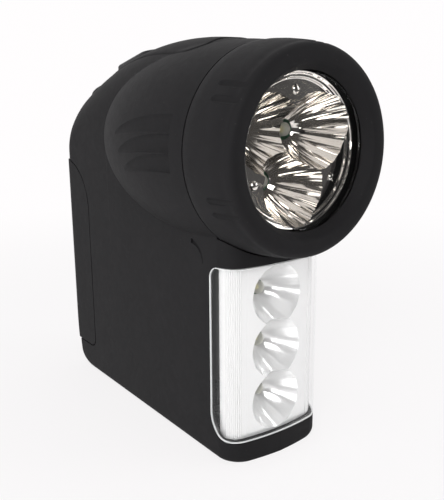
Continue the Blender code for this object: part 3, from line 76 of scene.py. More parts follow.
class FlashlightSizes(bpy.types.PropertyGroup):
    """Sizes of the flashlight's skins, as its frame has them"""

    total_length: size("Total length", "Front rim of the bezel to the back of the rear cover", 144.0 * MM)
    cover_proud: size("Cover proud", "How far the rear cover stands behind the housing", 1.4 * MM)
    body_half_width: size("Body half width", "Middle plane to the side of the housing", 22.0 * MM)
    wall: size("Wall", "Thickness of the housing's wall", 2.0 * MM)
    head_axis_height: size("Head axis height", "Floor to the axis of the spot head", 110.0 * MM)
    slab_front: size("Lamp front", "Depth of the side lamp's front", 14.2 * MM)
    seam: size("Seam", "Depth of the seam behind the bezel", 22.0 * MM)
    neck_top: size("Neck top", "Height of the ledge under the spot head", 73.6 * MM)
    bullet_radius: size("Bullet radius", "Widest radius of the head's bullet", 36.4 * MM)
    bullet_widest: size("Bullet's widest depth", "Depth at which the bullet is widest", 40.0 * MM)
    bullet_length: size("Bullet length", "Widest place of the bullet to its tail", 75.6 * MM)
    crown_height: size("Crown height", "Highest point of the top line", 147.2 * MM)
    crown_peak: size("Crown peak", "Depth of the highest point of the top line", 54.0 * MM)
    crown_radius: size("Crown radius", "Radius of the top line's long arc", 165.0 * MM)
    back_top_radius: size("Back top radius", "Radius of the top line's arc at the back", 27.0 * MM)
    bulge_height: size("Bulge height", "Height at which the back stands out most", 81.0 * MM)
    bulge_radius: size("Bulge radius", "Radius of the back in the side view", 375.0 * MM)
    bezel_back_radius: size("Bezel back radius", "Radius of the bezel at the seam", 35.5 * MM)
    bezel_front_radius: size("Bezel front radius", "Radius of the bezel at its front rim", 34.0 * MM)
    bezel_mouth_radius: size("Bezel mouth radius", "Radius of the bezel's opening", 27.6 * MM)
    cup_circle: size("Cup circle", "Head axis to the axis of each reflector cup", 11.6 * MM)
    cup_mouth: size("Cup mouth", "Radius of each cup's mouth", 13.2 * MM)
    crank_reach: size("Crank reach", "Crank axis to the axis of the folding handle", 36.0 * MM)


class FlashlightColours(bpy.types.PropertyGroup):
    """Colours of the flashlight's finishes"""

    housing: colour("Housing", "Soft-touch black of the housing, bezel and cover", (0.012, 0.0115, 0.0125))
    satin: colour("Satin black", "Plain black of the buttons and the crank", (0.016, 0.016, 0.0175))
    pad: colour("Pad", "Rubber of the switch pad", (0.012, 0.0115, 0.0125))
    chrome: colour("Chrome", "Plating of the reflectors", (0.84, 0.81, 0.77))
    # The LEDs' near-white colour is partly the epoxy body's own pale tint and partly a painted highlight that
    # makes the clear LEDs look bright.
    epoxy_and_painted_highlight: colour("LED epoxy", "Clear body of the LEDs", (0.95, 0.95, 0.86))
    phosphor: colour("Phosphor", "Yellow die inside each LED", (0.72, 0.6, 0.06))
    board: colour("Board", "Lacquer of the circuit boards", (0.05, 0.2, 0.1))
    sleeve: colour("Cell sleeve", "Sleeve of the cells", (0.1, 0.32, 0.2))
    floor: colour("Floor", "Paper that the flashlight stands on", (0.93, 0.925, 0.93))


def sizes():
    return bpy.context.scene.flashlight_sizes


def colours():
    return bpy.context.scene.flashlight_colours


def depth(distance):
    """World y of a place that lies this far behind the bezel's front rim."""
    return distance - sizes().total_length / 2


def back_depth():
    return sizes().total_length - sizes().cover_proud


# Finishes

def node_group(name, inputs, outputs):
    """A shader node group with named sockets, ready to be filled."""
    group = bpy.data.node_groups.new(name, "ShaderNodeTree")
    for label, kind, default in inputs:
        socket = group.interface.new_socket(label, in_out="INPUT", socket_type=kind)
        socket.default_value = default
    for label, kind in outputs:
        group.interface.new_socket(label, in_out="OUTPUT", socket_type=kind)
    return group, group.nodes.new("NodeGroupInput"), group.nodes.new("NodeGroupOutput")


def set_sockets(tree, node, values):
    """Sets a node's sockets by name or number, each to a constant or to another node's output."""
    for label, value in values.items():
        if isinstance(value, bpy.types.NodeSocket):
            tree.links.new(value, node.inputs[label])
        else:
            node.inputs[label].default_value = value


def make(tree, kind, values, **settings):
    """A new node with its settings and its sockets."""
    node = tree.nodes.new("ShaderNode" + kind)
    for name, value in settings.items():
        setattr(node, name, value)
    set_sockets(tree, node, values)
    return node


def calculate(tree, operation, first, second):
    return make(tree, "Math", {0: first, 1: second}, operation=operation).outputs[0]


def ranged(tree, value, starts, ends, style="LINEAR"):
    """Maps the range between two starts onto the one between two ends."""
    values = {"Value": value, "From Min": starts[0], "From Max": starts[1],
              "To Min": ends[0], "To Max": ends[1]}
    return make(tree, "MapRange", values, interpolation_type=style).outputs["Result"]


SCUFF_SCALE = 220.0
SPECK_SCALE = 900.0
SPECK_LIMIT = 0.735
DUST_COLOUR = (0.32, 0.31, 0.3, 1)


def surface_group():
    """Moulded or worn surface: blotches, fine grain, and thin scuffs that change the gloss."""
    if "Surface wear" in bpy.data.node_groups:
        return bpy.data.node_groups["Surface wear"]
    number = "NodeSocketFloat"
    group, inlet, outlet = node_group(
        "Surface wear",
        (("Colour", "NodeSocketColor", (0.5, 0.5, 0.5, 1)), ("Blotch", number, 0.1),
         ("Blotch scale", number, 60.0), ("Grain scale", number, 2500.0), ("Roughness", number, 0.5),
         ("Scuff", number, 0.05), ("Dust", number, 0.0)),
        (("Colour", "NodeSocketColor"), ("Roughness", number), ("Height", number)),
    )
    given = inlet.outputs
    place = group.nodes.new("ShaderNodeTexCoord").outputs["Object"]
    blotch, grain, scuff, specks = [
        make(group, "TexNoise", {"Vector": place, "Scale": scale, "Detail": detail, "Distortion": distortion})
        .outputs["Fac"] for scale, detail, distortion in (
            (given["Blotch scale"], 3.0, 0.0), (given["Grain scale"], 1.0, 0.0),
            (SCUFF_SCALE, 5.0, 1.5), (SPECK_SCALE, 2.0, 0.0))
    ]
    swing = calculate(group, "MULTIPLY", calculate(group, "SUBTRACT", blotch, 0.5), given["Blotch"])
    gain = calculate(group, "ADD", calculate(group, "MULTIPLY", swing, 2.0), 1.0)
    scaled = make(group, "VectorMath", {0: given["Colour"], "Scale": gain}, operation="SCALE")
    fleck = calculate(group, "GREATER_THAN", specks, SPECK_LIMIT)
    fleck = calculate(group, "MULTIPLY", fleck, given["Dust"])
    dusted = make(group, "Mix", {"B": DUST_COLOUR, "Factor": fleck, "A": scaled.outputs["Vector"]},
                  data_type="RGBA")
    worn = calculate(group, "MULTIPLY", calculate(group, "SUBTRACT", scuff, 0.5), 2.0)
    worn = calculate(group, "MULTIPLY", worn, given["Scuff"])
    worn = calculate(group, "ADD", worn, given["Roughness"])
    set_sockets(group, outlet, {"Colour": dusted.outputs["Result"], "Roughness": worn, "Height": grain})
    return group


def worn_material(name, shade, metallic, values):
    """A material whose colour and roughness come from the surface group."""
    material = bpy.data.materials.new(name)
    material.use_nodes = True
    tree = material.node_tree
    worn = tree.nodes.new("ShaderNodeGroup")
    worn.node_tree = surface_group()
    set_sockets(tree, worn, {"Colour": (*shade, 1), **values})
    shader = tree.nodes["Principled BSDF"]
    set_sockets(tree, shader, {"Base Color": worn.outputs["Colour"], "Roughness": worn.outputs["Roughness"],
                               "Metallic": metallic})
    return material, tree, shader, worn


def finish(name, shade, roughness, metallic=0.0, blotch=0.08, blotch_scale=60.0, grain_scale=2500.0,
           grain_height=0.02 * MM, scuff=0.05, dust=0.0, coat=0.0, specular=0.5):
    """A procedural finish built on the surface group."""
    if name in bpy.data.materials:
        return bpy.data.materials[name]
    material, tree, shader, worn = worn_material(name, shade, metallic, {
        "Blotch": blotch, "Blotch scale": blotch_scale, "Grain scale": grain_scale,
        "Roughness": roughness, "Scuff": scuff, "Dust": dust,
    })
    bump = make(tree, "Bump", {"Distance": grain_height, "Height": worn.outputs["Height"]})
    set_sockets(tree, shader, {"Normal": bump.outputs["Normal"], "Coat Weight": coat,
                               "Specular IOR Level": specular})
    return material


def clear_finish(name, shade, least, most, metallic=1.0):
    """Thin clear plastic: almost unseen face on, and bright where it is seen at a slant."""
    if name in bpy.data.materials:
        return bpy.data.materials[name]
    material, tree, shader, _ = worn_material(name, shade, metallic,
                                              {"Blotch": 0.02, "Roughness": 0.05, "Scuff": 0.03})
    slant = calculate(tree, "POWER", make(tree, "LayerWeight", {"Blend": 0.5}).outputs["Facing"], 5.0)
    set_sockets(tree, shader, {"Alpha": ranged(tree, slant, (0.0, 1.0), (least, most))})
    return material


def soft_black():
    return finish("Soft-touch black", colours().housing, 0.66, blotch=0.12, grain_scale=2600.0,
                  grain_height=0.03 * MM, scuff=0.08, dust=0.04, specular=0.12)


def satin_black():
    return finish("Satin black plastic", colours().satin, 0.42, blotch=0.1, grain_height=0.015 * MM,
                  scuff=0.1, specular=0.25)


def pad_black():
    return finish("Pad rubber", colours().pad, 0.7, blotch=0.14, grain_scale=1500.0, grain_height=0.05 * MM,
                  scuff=0.08, dust=0.08, specular=0.15)


def chrome():
    return finish("Bright chrome", colours().chrome, 0.07, 1.0, blotch=0.03, grain_scale=300.0,
                  grain_height=0.002 * MM, scuff=0.03)


def silver():
    return finish("Satin silver plating", (0.9, 0.9, 0.9), 0.16, 0.45, blotch=0.02, grain_scale=300.0,
                  grain_height=0.002 * MM, scuff=0.04, specular=0.8)


def steel():
    return finish("Plated steel", (0.6, 0.6, 0.62), 0.3, 1.0, blotch=0.08, grain_scale=1200.0, scuff=0.12)


def grey_plastic():
    return finish("Grey plastic", (0.25, 0.25, 0.26), 0.5, blotch=0.06)


def board_green():
    return finish("Board lacquer", colours().board, 0.4, blotch=0.2, blotch_scale=300.0, grain_scale=900.0,
                  coat=0.3)


# Modelling helpers

def only(piece):
    """Leaves this piece alone selected and active."""
    bpy.ops.object.select_all(action="DESELECT")
    piece.select_set(True)
    bpy.context.view_layer.objects.active = piece


def settle(piece):
    """Puts the piece's place, turn and scale into its mesh."""
    only(piece)
    bpy.ops.object.transform_apply(location=True, rotation=True, scale=True)
    return piece


def tidy_mesh(piece):
    """Merges doubles and turns all faces outwards."""
    only(piece)
    bpy.ops.object.mode_set(mode="EDIT")
    bpy.ops.mesh.select_all(action="SELECT")
    bpy.ops.mesh.remove_doubles(threshold=WELD)
    bpy.ops.mesh.normals_make_consistent(inside=False)
    bpy.ops.object.mode_set(mode="OBJECT")
    return piece


def from_bmesh(name, bm):
    bmesh.ops.recalc_face_normals(bm, faces=bm.faces)
    mesh = bpy.data.meshes.new(name)
    bm.to_mesh(mesh)
    bm.free()
    piece = bpy.data.objects.new(name, mesh)
    bpy.context.scene.collection.objects.link(piece)
    return piece


def block(name, low, high):
    """A box between two corners."""
    bpy.ops.object.select_all(action="DESELECT")
    middle = (Vector(low) + Vector(high)) / 2
    bpy.ops.mesh.primitive_cube_add(size=1.0, location=middle)
    piece = bpy.context.object
    piece.name = name
    piece.scale = Vector(high) - Vector(low)
    return settle(piece)


def lathe(name, profile, place, axis="Y", steps=64, closed=False):
    """A turned piece: a circle extruded and scaled along the (radius, distance) profile.

    An open profile gives a solid with flat ends, and a closed one gives a ring."""
    bpy.ops.object.select_all(action="DESELECT")
    radius, along = profile[0]
    fill = "NOTHING" if closed else "NGON"
    bpy.ops.mesh.primitive_circle_add(vertices=steps, radius=radius, fill_type=fill, location=(0, 0, along))
    piece = bpy.context.object
    piece.name = name
    settle(piece)
    bpy.ops.object.mode_set(mode="EDIT")
    bpy.ops.mesh.select_all(action="SELECT")
    path = list(profile) + ([profile[0]] if closed else [])
    for (r0, h0), (r1, h1) in zip(path, path[1:]):
        bpy.ops.mesh.extrude_region_move(TRANSFORM_OT_translate={"value": (0, 0, h1 - h0)})
        ratio = r1 / r0
        bpy.ops.transform.resize(value=(ratio, ratio, 1), center_override=(0, 0, 0))
    bpy.ops.object.mode_set(mode="OBJECT")
    tidy_mesh(piece)
    turn_to(piece, place, axis)
    return piece


def turn_to(piece, place, axis):
    """Turns a piece made along Z to lie along X, Y or Z, and puts it in its place."""
    turns = {"X": (0, QUARTER, 0), "Y": (-QUARTER, 0, 0), "Z": (0, 0, 0)}
    piece.rotation_euler = turns[axis]
    piece.location = place
    return settle(piece)


def rod(name, radius, start, end, place, axis="Y", steps=48):
    return lathe(name, [(radius, start), (radius, end)], place, axis, steps)


def join(pieces):
    """Makes one object of several."""
    only(pieces[0])
    for piece in pieces:
        piece.select_set(True)
    bpy.ops.object.join()
    return pieces[0]


def shift(piece, place):
    piece.data.transform(Matrix.Translation(place))
    return piece


def points_from(start, rows):
    """(radius, distance) points of a profile from rows in millimetres, measured from a start."""
    return [(radius * MM, start + along * MM) for radius, along in rows]


def combine(piece, tool, operation):
    """Joins, cuts or keeps by another piece, which is used up."""
    only(piece)
    modifier = piece.modifiers.new("Form", "BOOLEAN")
    modifier.operation = operation
    modifier.object = tool
    modifier.solver = "EXACT"
    bpy.ops.object.modifier_apply(modifier=modifier.name)
    bpy.data.objects.remove(tool)
    return piece


def cut(piece, *tools):
    for tool in tools:
        combine(piece, tool, "DIFFERENCE")
    return piece


def add(piece, *tools):
    for tool in tools:
        combine(piece, tool, "UNION")
    return piece


def keep(piece, *tools):
    for tool in tools:
        combine(piece, tool, "INTERSECT")
    return piece


def copy_of(piece, name):
    twin = piece.copy()
    twin.data = piece.data.copy()
    twin.name = name
    bpy.context.scene.collection.objects.link(twin)
    return twin


def round_edges(piece, width, segments=3, limit=math.radians(40)):
    only(piece)
    modifier = piece.modifiers.new("Round", "BEVEL")
    modifier.width = width
    modifier.segments = segments
    modifier.limit_method = "ANGLE"
    modifier.angle_limit = limit
    bpy.ops.object.modifier_apply(modifier=modifier.name)
    return piece


def dress(piece, material, body, slot, *nodes, angle=math.radians(32)):
    """Smooths a piece, gives it its finish and sets it on its body in place of CAD nodes."""
    only(piece)
    bpy.ops.object.shade_smooth_by_angle(angle=angle)
    piece.data.materials.clear()
    piece.data.materials.append(material)
    piece.data.name = piece.name
    if nodes:
        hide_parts(*nodes)
    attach(piece, body)
    return piece


def arc(centre, radius, start, end, count):
    points = []
    for i in range(count + 1):
        angle = start + (end - start) * i / count
        points.append((centre[0] + radius * math.cos(angle), centre[1] + radius * math.sin(angle)))
    return points


def rounded_box(low, high, radii, count=12):
    """Outline of a box whose corners have the radii given from the low corner round."""
    corners = (
        (low[0] + radii[0], low[1] + radii[0], 2 * QUARTER),
        (high[0] - radii[1], low[1] + radii[1], 3 * QUARTER),
        (high[0] - radii[2], high[1] - radii[2], 0),
        (low[0] + radii[3], high[1] - radii[3], QUARTER),
    )
    outline = []
    for radius, (u, v, start) in zip(radii, corners):
        outline += arc((u, v), radius, start, start + QUARTER, count)
    return outline


def push(bm, faces, travel):
    """Extrudes faces and moves the new ones."""
    moved = bmesh.ops.extrude_face_region(bm, geom=faces, use_keep_orig=True)["geom"]
    bmesh.ops.translate(bm, vec=travel, verts=[v for v in moved if isinstance(v, bmesh.types.BMVert)])


def prism(name, outline, start, end, axis):
    """A flat outline pushed along X or Z. The outline holds the other two coordinates."""
    bm = bmesh.new()
    points = [(start, u, v) if axis == "X" else (u, v, start) for u, v in outline]
    bm.faces.new([bm.verts.new(point) for point in points])
    bmesh.ops.remove_doubles(bm, verts=bm.verts, dist=WELD)
    push(bm, [bm.faces[:][0]], (end - start, 0, 0) if axis == "X" else (0, 0, end - start))
    return from_bmesh(name, bm)


def skin_over(bm, rings):
    """Closes a skin over rings that all have the same number of vertices."""
    for near, off in zip(rings, rings[1:]):
        for i in range(len(near)):
            j = (i + 1) % len(near)
            bm.faces.new((near[i], near[j], off[j], off[i]))
    bm.faces.new(rings[0])
    bm.faces.new(rings[-1])


def loft(name, sections):
    """A closed skin through rings of points."""
    bm = bmesh.new()
    skin_over(bm, [[bm.verts.new(point) for point in section] for section in sections])
    bmesh.ops.triangulate(bm, faces=bm.faces)
    return from_bmesh(name, bm)


def bar_along(name, points, radii, sides=16):
    """A round bar along a run of points, with its own radius at each."""
    sections = []
    for i, point in enumerate(points):
        here = Vector(point)
        ahead = Vector(points[min(i + 1, len(points) - 1)]) - Vector(points[max(i - 1, 0)])
        ahead.normalize()
        first = ahead.cross(Vector((0, 0, 1))).normalized()
        second = ahead.cross(first)
        ring = []
        for k in range(sides):
            angle = FULL_TURN * k / sides
            ring.append(here + (first * math.cos(angle) + second * math.sin(angle)) * radii[i])
        sections.append(ring)
    return loft(name, sections)


# The housing's form, as the frame has it

FRONT_BOW = 90.0 * MM
CORNER = 8.0 * MM
FLOOR_EDGE = 2.4 * MM
SHOULDER = 19.5 * MM
NECK_EDGE = 2.6 * MM
NECK_END = 28.0 * MM
CROWN_START = 36.0 * MM
HEEL_HEIGHT = 5.0 * MM
HEEL_LENGTH = 10.0 * MM
SADDLE_TOP = 84.0 * MM
BEZEL_SWELL = 0.1 * MM


def front_corner():
    s = sizes()
    side = s.body_half_width - CORNER
    reach = FRONT_BOW - CORNER
    rise = math.sqrt(reach ** 2 - side ** 2)
    return s.slab_front + FRONT_BOW - rise, rise / reach


def half_width(y_depth, inset):
    """Half width of the slab at a depth: bowed front, rounded upright corners."""
    s = sizes()
    half = s.body_half_width - inset
    radius = CORNER - inset
    past = y_depth - (back_depth() - CORNER)
    if past > 0:
        return half - radius + math.sqrt(max(radius ** 2 - past ** 2, 0))
    centre, share = front_corner()
    short = centre - y_depth
    if short <= 0:
        return half
    if short <= radius * share:
        return half - radius + math.sqrt(radius ** 2 - short ** 2)
    bow = FRONT_BOW - inset
    return math.sqrt(max(bow ** 2 - (s.slab_front + FRONT_BOW - y_depth) ** 2, OVERLAP ** 2))


def crown_line(y_depth, inset=0.0):
    """Height of the top line: a long arc that runs into the tighter arc at the back."""
    s = sizes()
    radius = s.crown_radius - inset
    back_radius = s.back_top_radius - inset
    long_centre = s.crown_height - s.crown_radius
    back_centre_depth = back_depth() - s.back_top_radius
    reach = s.crown_radius - s.back_top_radius
    run = back_centre_depth - s.crown_peak
    back_centre = long_centre + math.sqrt(reach ** 2 - run ** 2)
    if y_depth < back_centre_depth + back_radius * run / reach:
        return long_centre + math.sqrt(radius ** 2 - (y_depth - s.crown_peak) ** 2)
    past = min(y_depth - back_centre_depth, back_radius)
    return back_centre + math.sqrt(back_radius ** 2 - past ** 2)


def step_depth():
    return sizes().seam + GAP


def top_line(y_depth, inset):
    s = sizes()
    if y_depth <= step_depth() + GAP + inset:
        return s.neck_top - inset if inset else SADDLE_TOP
    shelf = s.head_axis_height - inset
    if y_depth <= NECK_END:
        return shelf
    if y_depth < CROWN_START:
        share = (y_depth - NECK_END) / (CROWN_START - NECK_END)
        return shelf + share * (crown_line(CROWN_START, inset) - shelf)
    return crown_line(y_depth, inset)


def floor_line(y_depth, inset):
    """Height of the underside, which climbs at the back along the heel and the back's curve."""
    s = sizes()
    end = back_depth() - inset
    radius = s.bulge_radius - inset
    lean_back = radius - math.sqrt(radius ** 2 - (s.bulge_height - HEEL_HEIGHT) ** 2)
    heel_end = end - lean_back
    if y_depth <= heel_end - HEEL_LENGTH:
        return inset
    if y_depth <= heel_end:
        share = (y_depth - heel_end + HEEL_LENGTH) / HEEL_LENGTH
        return inset + (HEEL_HEIGHT - inset) * (1 - math.sqrt(max(1 - share ** 2, 0)))
    return s.bulge_height - math.sqrt(max(radius ** 2 - (radius - (end - y_depth)) ** 2, 0))


def stations(inset, detail):
    """Depths of the slab's sections, closer together where the form turns."""
    s = sizes()
    end = back_depth() - inset
    centre, share = front_corner()
    radius = CORNER - inset
    bow = FRONT_BOW - inset
    start = s.slab_front + inset
    widest = math.acos(share)
    bow_reach = bow * (s.body_half_width - CORNER) / (FRONT_BOW - CORNER)
    rows = [start]
    for i in range(1, 2 * detail + 1):
        x = bow_reach * i / (2 * detail)
        rows.append(start + bow - math.sqrt(bow ** 2 - x ** 2))
    for i in range(1, 4 * detail + 1):
        angle = widest + (QUARTER - widest) * i / (4 * detail)
        rows.append(centre - radius * math.cos(angle))
    step = step_depth() + GAP + inset
    rows = [row for row in rows if row < step - OVERLAP] + [step, step + OVERLAP / 10, NECK_END, CROWN_START]
    turn = back_depth() - s.back_top_radius
    for i in range(1, 8 * detail + 1):
        rows.append(CROWN_START + (turn - CROWN_START) * i / (8 * detail))
    for i in range(1, 12 * detail):
        rows.append(turn + (end - turn) * math.sin(QUARTER * i / (12 * detail)))
    return rows + [end]


def section(y_depth, inset, detail):
    half = half_width(y_depth, inset)
    floor = floor_line(y_depth, inset)
    top = top_line(y_depth, inset)
    in_neck = y_depth <= step_depth() + GAP + inset
    low = min(FLOOR_EDGE, half - OVERLAP)
    high = NECK_EDGE if in_neck else SHOULDER
    high = min(max(high - inset, OVERLAP), half - OVERLAP, (top - floor) / 2)
    right = arc((half - low, floor + low), low, -QUARTER, 0, 2 * detail)
    right += arc((half - high, top - high), high, 0, QUARTER, 6 * detail)
    left = [(-x, z) for x, z in reversed(right)]
    return [(x, depth(y_depth), z) for x, z in right + left]


def slab(name, inset, detail=4):
    return loft(name, [section(row, inset, detail) for row in stations(inset, detail)])


def bullet_at(y_depth, inset=0.0):
    s = sizes()
    share = (y_depth - s.bullet_widest) / (s.bullet_length - inset)
    return (s.bullet_radius - inset) * math.sqrt(max(1 - share ** 2, 0))


def bullet(name, inset, detail=4):
    s = sizes()
    first = step_depth() + inset
    length = s.bullet_length - inset
    start = math.asin((first - s.bullet_widest) / length)
    count = 12 * detail
    profile = []
    for i in range(count):
        angle = start + (QUARTER - start) * i / count
        radius = (s.bullet_radius - inset) * math.cos(angle)
        profile.append((radius, s.bullet_widest + length * math.sin(angle)))
    head = (0, depth(0), s.head_axis_height)
    return lathe(name, profile, head, "Y", 32 * detail)


def body(name, inset, detail=4):
    """The slab and the bullet in one. Outside, the slab's front rises to the bezel's round like a saddle."""
    s = sizes()
    piece = slab(name, inset, detail)
    if not inset:
        head = (0, depth(0), s.head_axis_height)
        radius = s.bezel_back_radius + BEZEL_SWELL + GAP
        cut(piece, rod("saddle", radius, 0, step_depth() + 0.9 * GAP, head, "Y", 158))
    return add(piece, bullet(name + "_bullet", inset, detail))


def skin_height(x, y_depth):
    """Height of the housing's upper surface over a point."""
    s = sizes()
    top = crown_line(y_depth)
    aside = abs(x) - (s.body_half_width - SHOULDER)
    if aside > 0:
        top -= SHOULDER - math.sqrt(max(SHOULDER ** 2 - aside ** 2, 0))
    radius = bullet_at(y_depth)
    if radius > abs(x):
        top = max(top, s.head_axis_height + math.sqrt(radius ** 2 - x ** 2))
    return top


def side_point(place):
    return Vector((0, depth(place[0]), place[1]))


WINDOW_LOW = 8.0 * MM
WINDOW_HIGH = 71.6 * MM
WINDOW_BACK = 27.2 * MM
COVER_FRONT = 119.7 * MM
COVER_LOW = 12.2 * MM
COVER_HIGH = 98.0 * MM


def window_outline(grow):
    return rounded_box(
        (depth(sizes().slab_front - FAR), WINDOW_LOW - grow),
        (depth(WINDOW_BACK + grow), WINDOW_HIGH + grow),
        (OVERLAP, 9.5 * MM + grow, 4.5 * MM + grow, OVERLAP),
    )


def cover_outline(grow):
    front = COVER_FRONT - grow
    low, high = COVER_LOW - grow, COVER_HIGH + grow
    low_radius, high_radius = 4.0 * MM + grow, 21.0 * MM + grow
    outline = arc((depth(front + high_radius), high - high_radius), high_radius, QUARTER, math.pi, 20)
    outline += arc((depth(front + low_radius), low + low_radius), low_radius, math.pi, 1.5 * math.pi, 8)
    end = depth(back_depth() + FAR)
    return outline + [(end, low), (end, high)]


PAD_FRONT = 41.0 * MM
PAD_BACK = 119.0 * MM
PAD_WIDE = 16.6 * MM
PAD_NARROW = 11.0 * MM
PAD_CORNER = 7.0 * MM
SPOT_FRONT = 84.0 * MM
SPOT_BACK = 113.5 * MM
SPOT_HALF = 8.5 * MM
SPOT_PROUD = 2.4 * MM
SPOT_FRONT_PROUD = 0.6 * MM


def pad_outline(grow):
    front, back = depth(PAD_FRONT) - grow, depth(PAD_BACK) + grow
    wide, narrow = PAD_WIDE + grow, PAD_NARROW + grow
    radius = PAD_CORNER + grow
    back_radius = radius * PAD_NARROW / PAD_WIDE
    right = arc((wide - radius, front + radius), radius, -QUARTER, 0, 12)
    right += arc((narrow - back_radius, back - back_radius), back_radius, 0, QUARTER, 10)
    return right + [(-x, y) for x, y in reversed(right)]


def spot_outline(grow):
    half = SPOT_HALF + grow
    round_front = half - OVERLAP
    return rounded_box((-half, depth(SPOT_FRONT) - grow), (half, depth(SPOT_BACK) + grow),
                       (round_front, round_front, round_front / 3, round_front / 3), 16)


LAMP_ANGLE = math.radians(50)
LAMP_WIDE = 10.5 * MM
LAMP_LONG = 7.5 * MM


def lamp_button_place():
    s = sizes()
    run = back_depth() - s.back_top_radius - s.crown_peak
    reach = s.crown_radius - s.back_top_radius
    centre = s.crown_height - s.crown_radius + math.sqrt(reach ** 2 - run ** 2)
    y = depth(back_depth() - s.back_top_radius) + s.back_top_radius * math.cos(LAMP_ANGLE)
    return Vector((0, y, centre + s.back_top_radius * math.sin(LAMP_ANGLE)))


def lean(piece):
    """Sets a piece made along Z on the lamp button's axis."""
    piece.rotation_euler = (LAMP_ANGLE - QUARTER, 0, 0)
    piece.location = lamp_button_place()
    return settle(piece)


def oval(name, profile, steps=64):
    """A lathed piece widened to the lamp button's oval."""
    piece = lathe(name, profile, (0, 0, 0), "Z", steps)
    piece.scale.x = LAMP_WIDE / LAMP_LONG
    return lean(settle(piece))


def scoop(name, side, number):
    """One finger scoop along the bullet's flank, wide in front and fading towards the tail."""
    s = sizes()
    start_height = 120.0 * MM - number * 6.7 * MM
    length = 41.0 * MM - number * 3.5 * MM
    points, radii = [], []
    for i in range(25):
        share = i / 24
        y_depth = 28.8 * MM + share * length
        radius = 4.0 * MM * (1 - 0.5 * share ** 2)
        bite = 1.6 * MM * (1 - share ** 3) + 0.05 * MM
        rise = start_height - s.head_axis_height - share ** 2 * 5.5 * MM
        reach = bullet_at(y_depth) + radius - bite
        points.append((side * math.sqrt(reach ** 2 - rise ** 2), depth(y_depth), s.head_axis_height + rise))
        radii.append(radius)
    return bar_along(name, points, radii)


SCREW_PLACES = ((106.0 * MM, 9.0 * MM), (42.0 * MM, 8.0 * MM), (108.0 * MM, 106.0 * MM))
CRANK_PLACE = (88.0 * MM, 44.0 * MM)
SCREW_HEAD = 2.7 * MM
SCREW_HEAD_HEIGHT = 1.8 * MM
SCREW_SINK = 2.6 * MM
ARM_THICKNESS = 7.2 * MM
PIN_BORE = 1.45 * MM
HANDLE_LENGTH = 18.0 * MM


class FLASHLIGHT_OT_housing(bpy.types.Operator):
    """Make the two smooth halves of the housing with their openings"""

    bl_idname = "flashlight.housing"
    bl_label = "Housing halves"

    def execute(self, context):
        s = sizes()
        head = (0, depth(0), s.head_axis_height)
        shell = cut(body("housing_whole", 0.0), body("housing_hollow", s.wall, 3))
        add(shell, rod("spigot", 32.0 * MM, 9.7 * MM, step_depth() + s.wall / 2, head, "Y", 96))
        cut(shell, rod("mouth", 29.8 * MM, 0, step_depth() + GAP + s.wall + OVERLAP, head, "Y", 98))
        cut(shell, prism("window", window_outline(GAP), -FAR, FAR, "X"))
        cut(shell, prism("rear", cover_outline(GAP + 0.2 * MM), -FAR, FAR, "X"))
        pocket = prism("pocket", pad_outline(GAP), s.head_axis_height, FAR, "Z")
        cut(shell, cut(pocket, body("pocket_floor", 1.2 * MM, 3)))
        spot = side_point(((SPOT_FRONT + SPOT_BACK) / 2, crown_line((SPOT_FRONT + SPOT_BACK) / 2)))
        cut(shell, rod("stem_hole", 2.15 * MM, -2 * s.wall, s.wall, spot, "Z", 24))
        cut(shell, oval("lamp_hole", [(LAMP_LONG + GAP, -3 * s.wall), (LAMP_LONG + GAP, 2 * s.wall)]))
        for side in (-1, 1):
            for number in range(3):
                cut(shell, scoop("scoop", side, number))
            centre = (depth(38.0 * MM), 71.3 * MM)
            out = side * (s.body_half_width + 0.1 * MM)
            points = [(out, y, z) for y, z in arc(centre, 7.0 * MM, QUARTER, math.pi, 16)]
            cut(shell, bar_along("neck_line", points, [0.9 * MM - 0.035 * MM * i for i in range(17)], 12))

        right = copy_of(shell, "housing_right_shell")
        keep(right, block("half", (-FAR, -FAR, -FAR), (-SEAM, FAR, FAR)))
        left = keep(shell, block("half", (SEAM, -FAR, -FAR), (FAR, FAR, FAR)))
        left.name = "housing_left_shell"
        bury = s.body_half_width - s.wall / 2
        for place in SCREW_PLACES:
            add(left, rod("post", 4.4 * MM, GAP, bury, side_point(place), "X", 48))
            cut(left, rod("shank_hole", 1.6 * MM, 0, FAR, side_point(place), "X", 32))
            sunk = s.body_half_width - SCREW_SINK
            cut(left, rod("head_hole", SCREW_HEAD + GAP, sunk, FAR, side_point(place), "X", 48))
        add(left, rod("bearing", 8.5 * MM, 18.55 * MM, bury, side_point(CRANK_PLACE), "X", 64))
        cut(left, rod("bearing_bore", 5.95 * MM, 0, FAR, side_point(CRANK_PLACE), "X", 66))
        dress(right, soft_black(), "housing", "housing", "housing_right")
        dress(left, soft_black(), "housing", "housing", "housing_left")
        return {"FINISHED"}


# Profiles as rows of (radius, distance) in millimetres, measured from the place that its piece gives

CLEAR_SHADE = (0.97, 0.98, 0.98)
SLOT_ROWS = ((1.5, -2.0), (1.5, 11.2), (1.275, 12.1), (0.75, 12.8), (0.15, 13.1))
LENS_ROWS = ((24.5, 0), (24.65, -0.3), (24.9, -0.45), (25.15, -0.3), (25.3, 0), (31.7, 0), (32.0, 0.3),
             (32.0, 1.7), (31.7, 2.0))
REFLECTOR_ROWS = ((24.9, 18.5), (26.0, 2.4), (31.9, 1.4), (31.9, 0), (25.3, 0), (24.9, 0.15), (24.7, 0.5),
                  (24.3, 0.7), (23.7, 0.75), (23.4, 0.95), (23.2, 1.45), (22.9, 1.6))
DOME_ROWS = ((1.7, 1.0), (1.6, 0), (1.45, -0.4), (1.1, -0.7), (0.5, -0.85), (0.1, -0.88))
DIE_ROWS = ((1.35, 0.8), (1.35, -0.2), (1.15, -0.9), (0.95, -1.0), (0.2, -1.25))
HUB_RING_ROWS = ((6.4, 1.0), (6.4, -0.35), (7.1, -0.35), (7.1, 1.0))
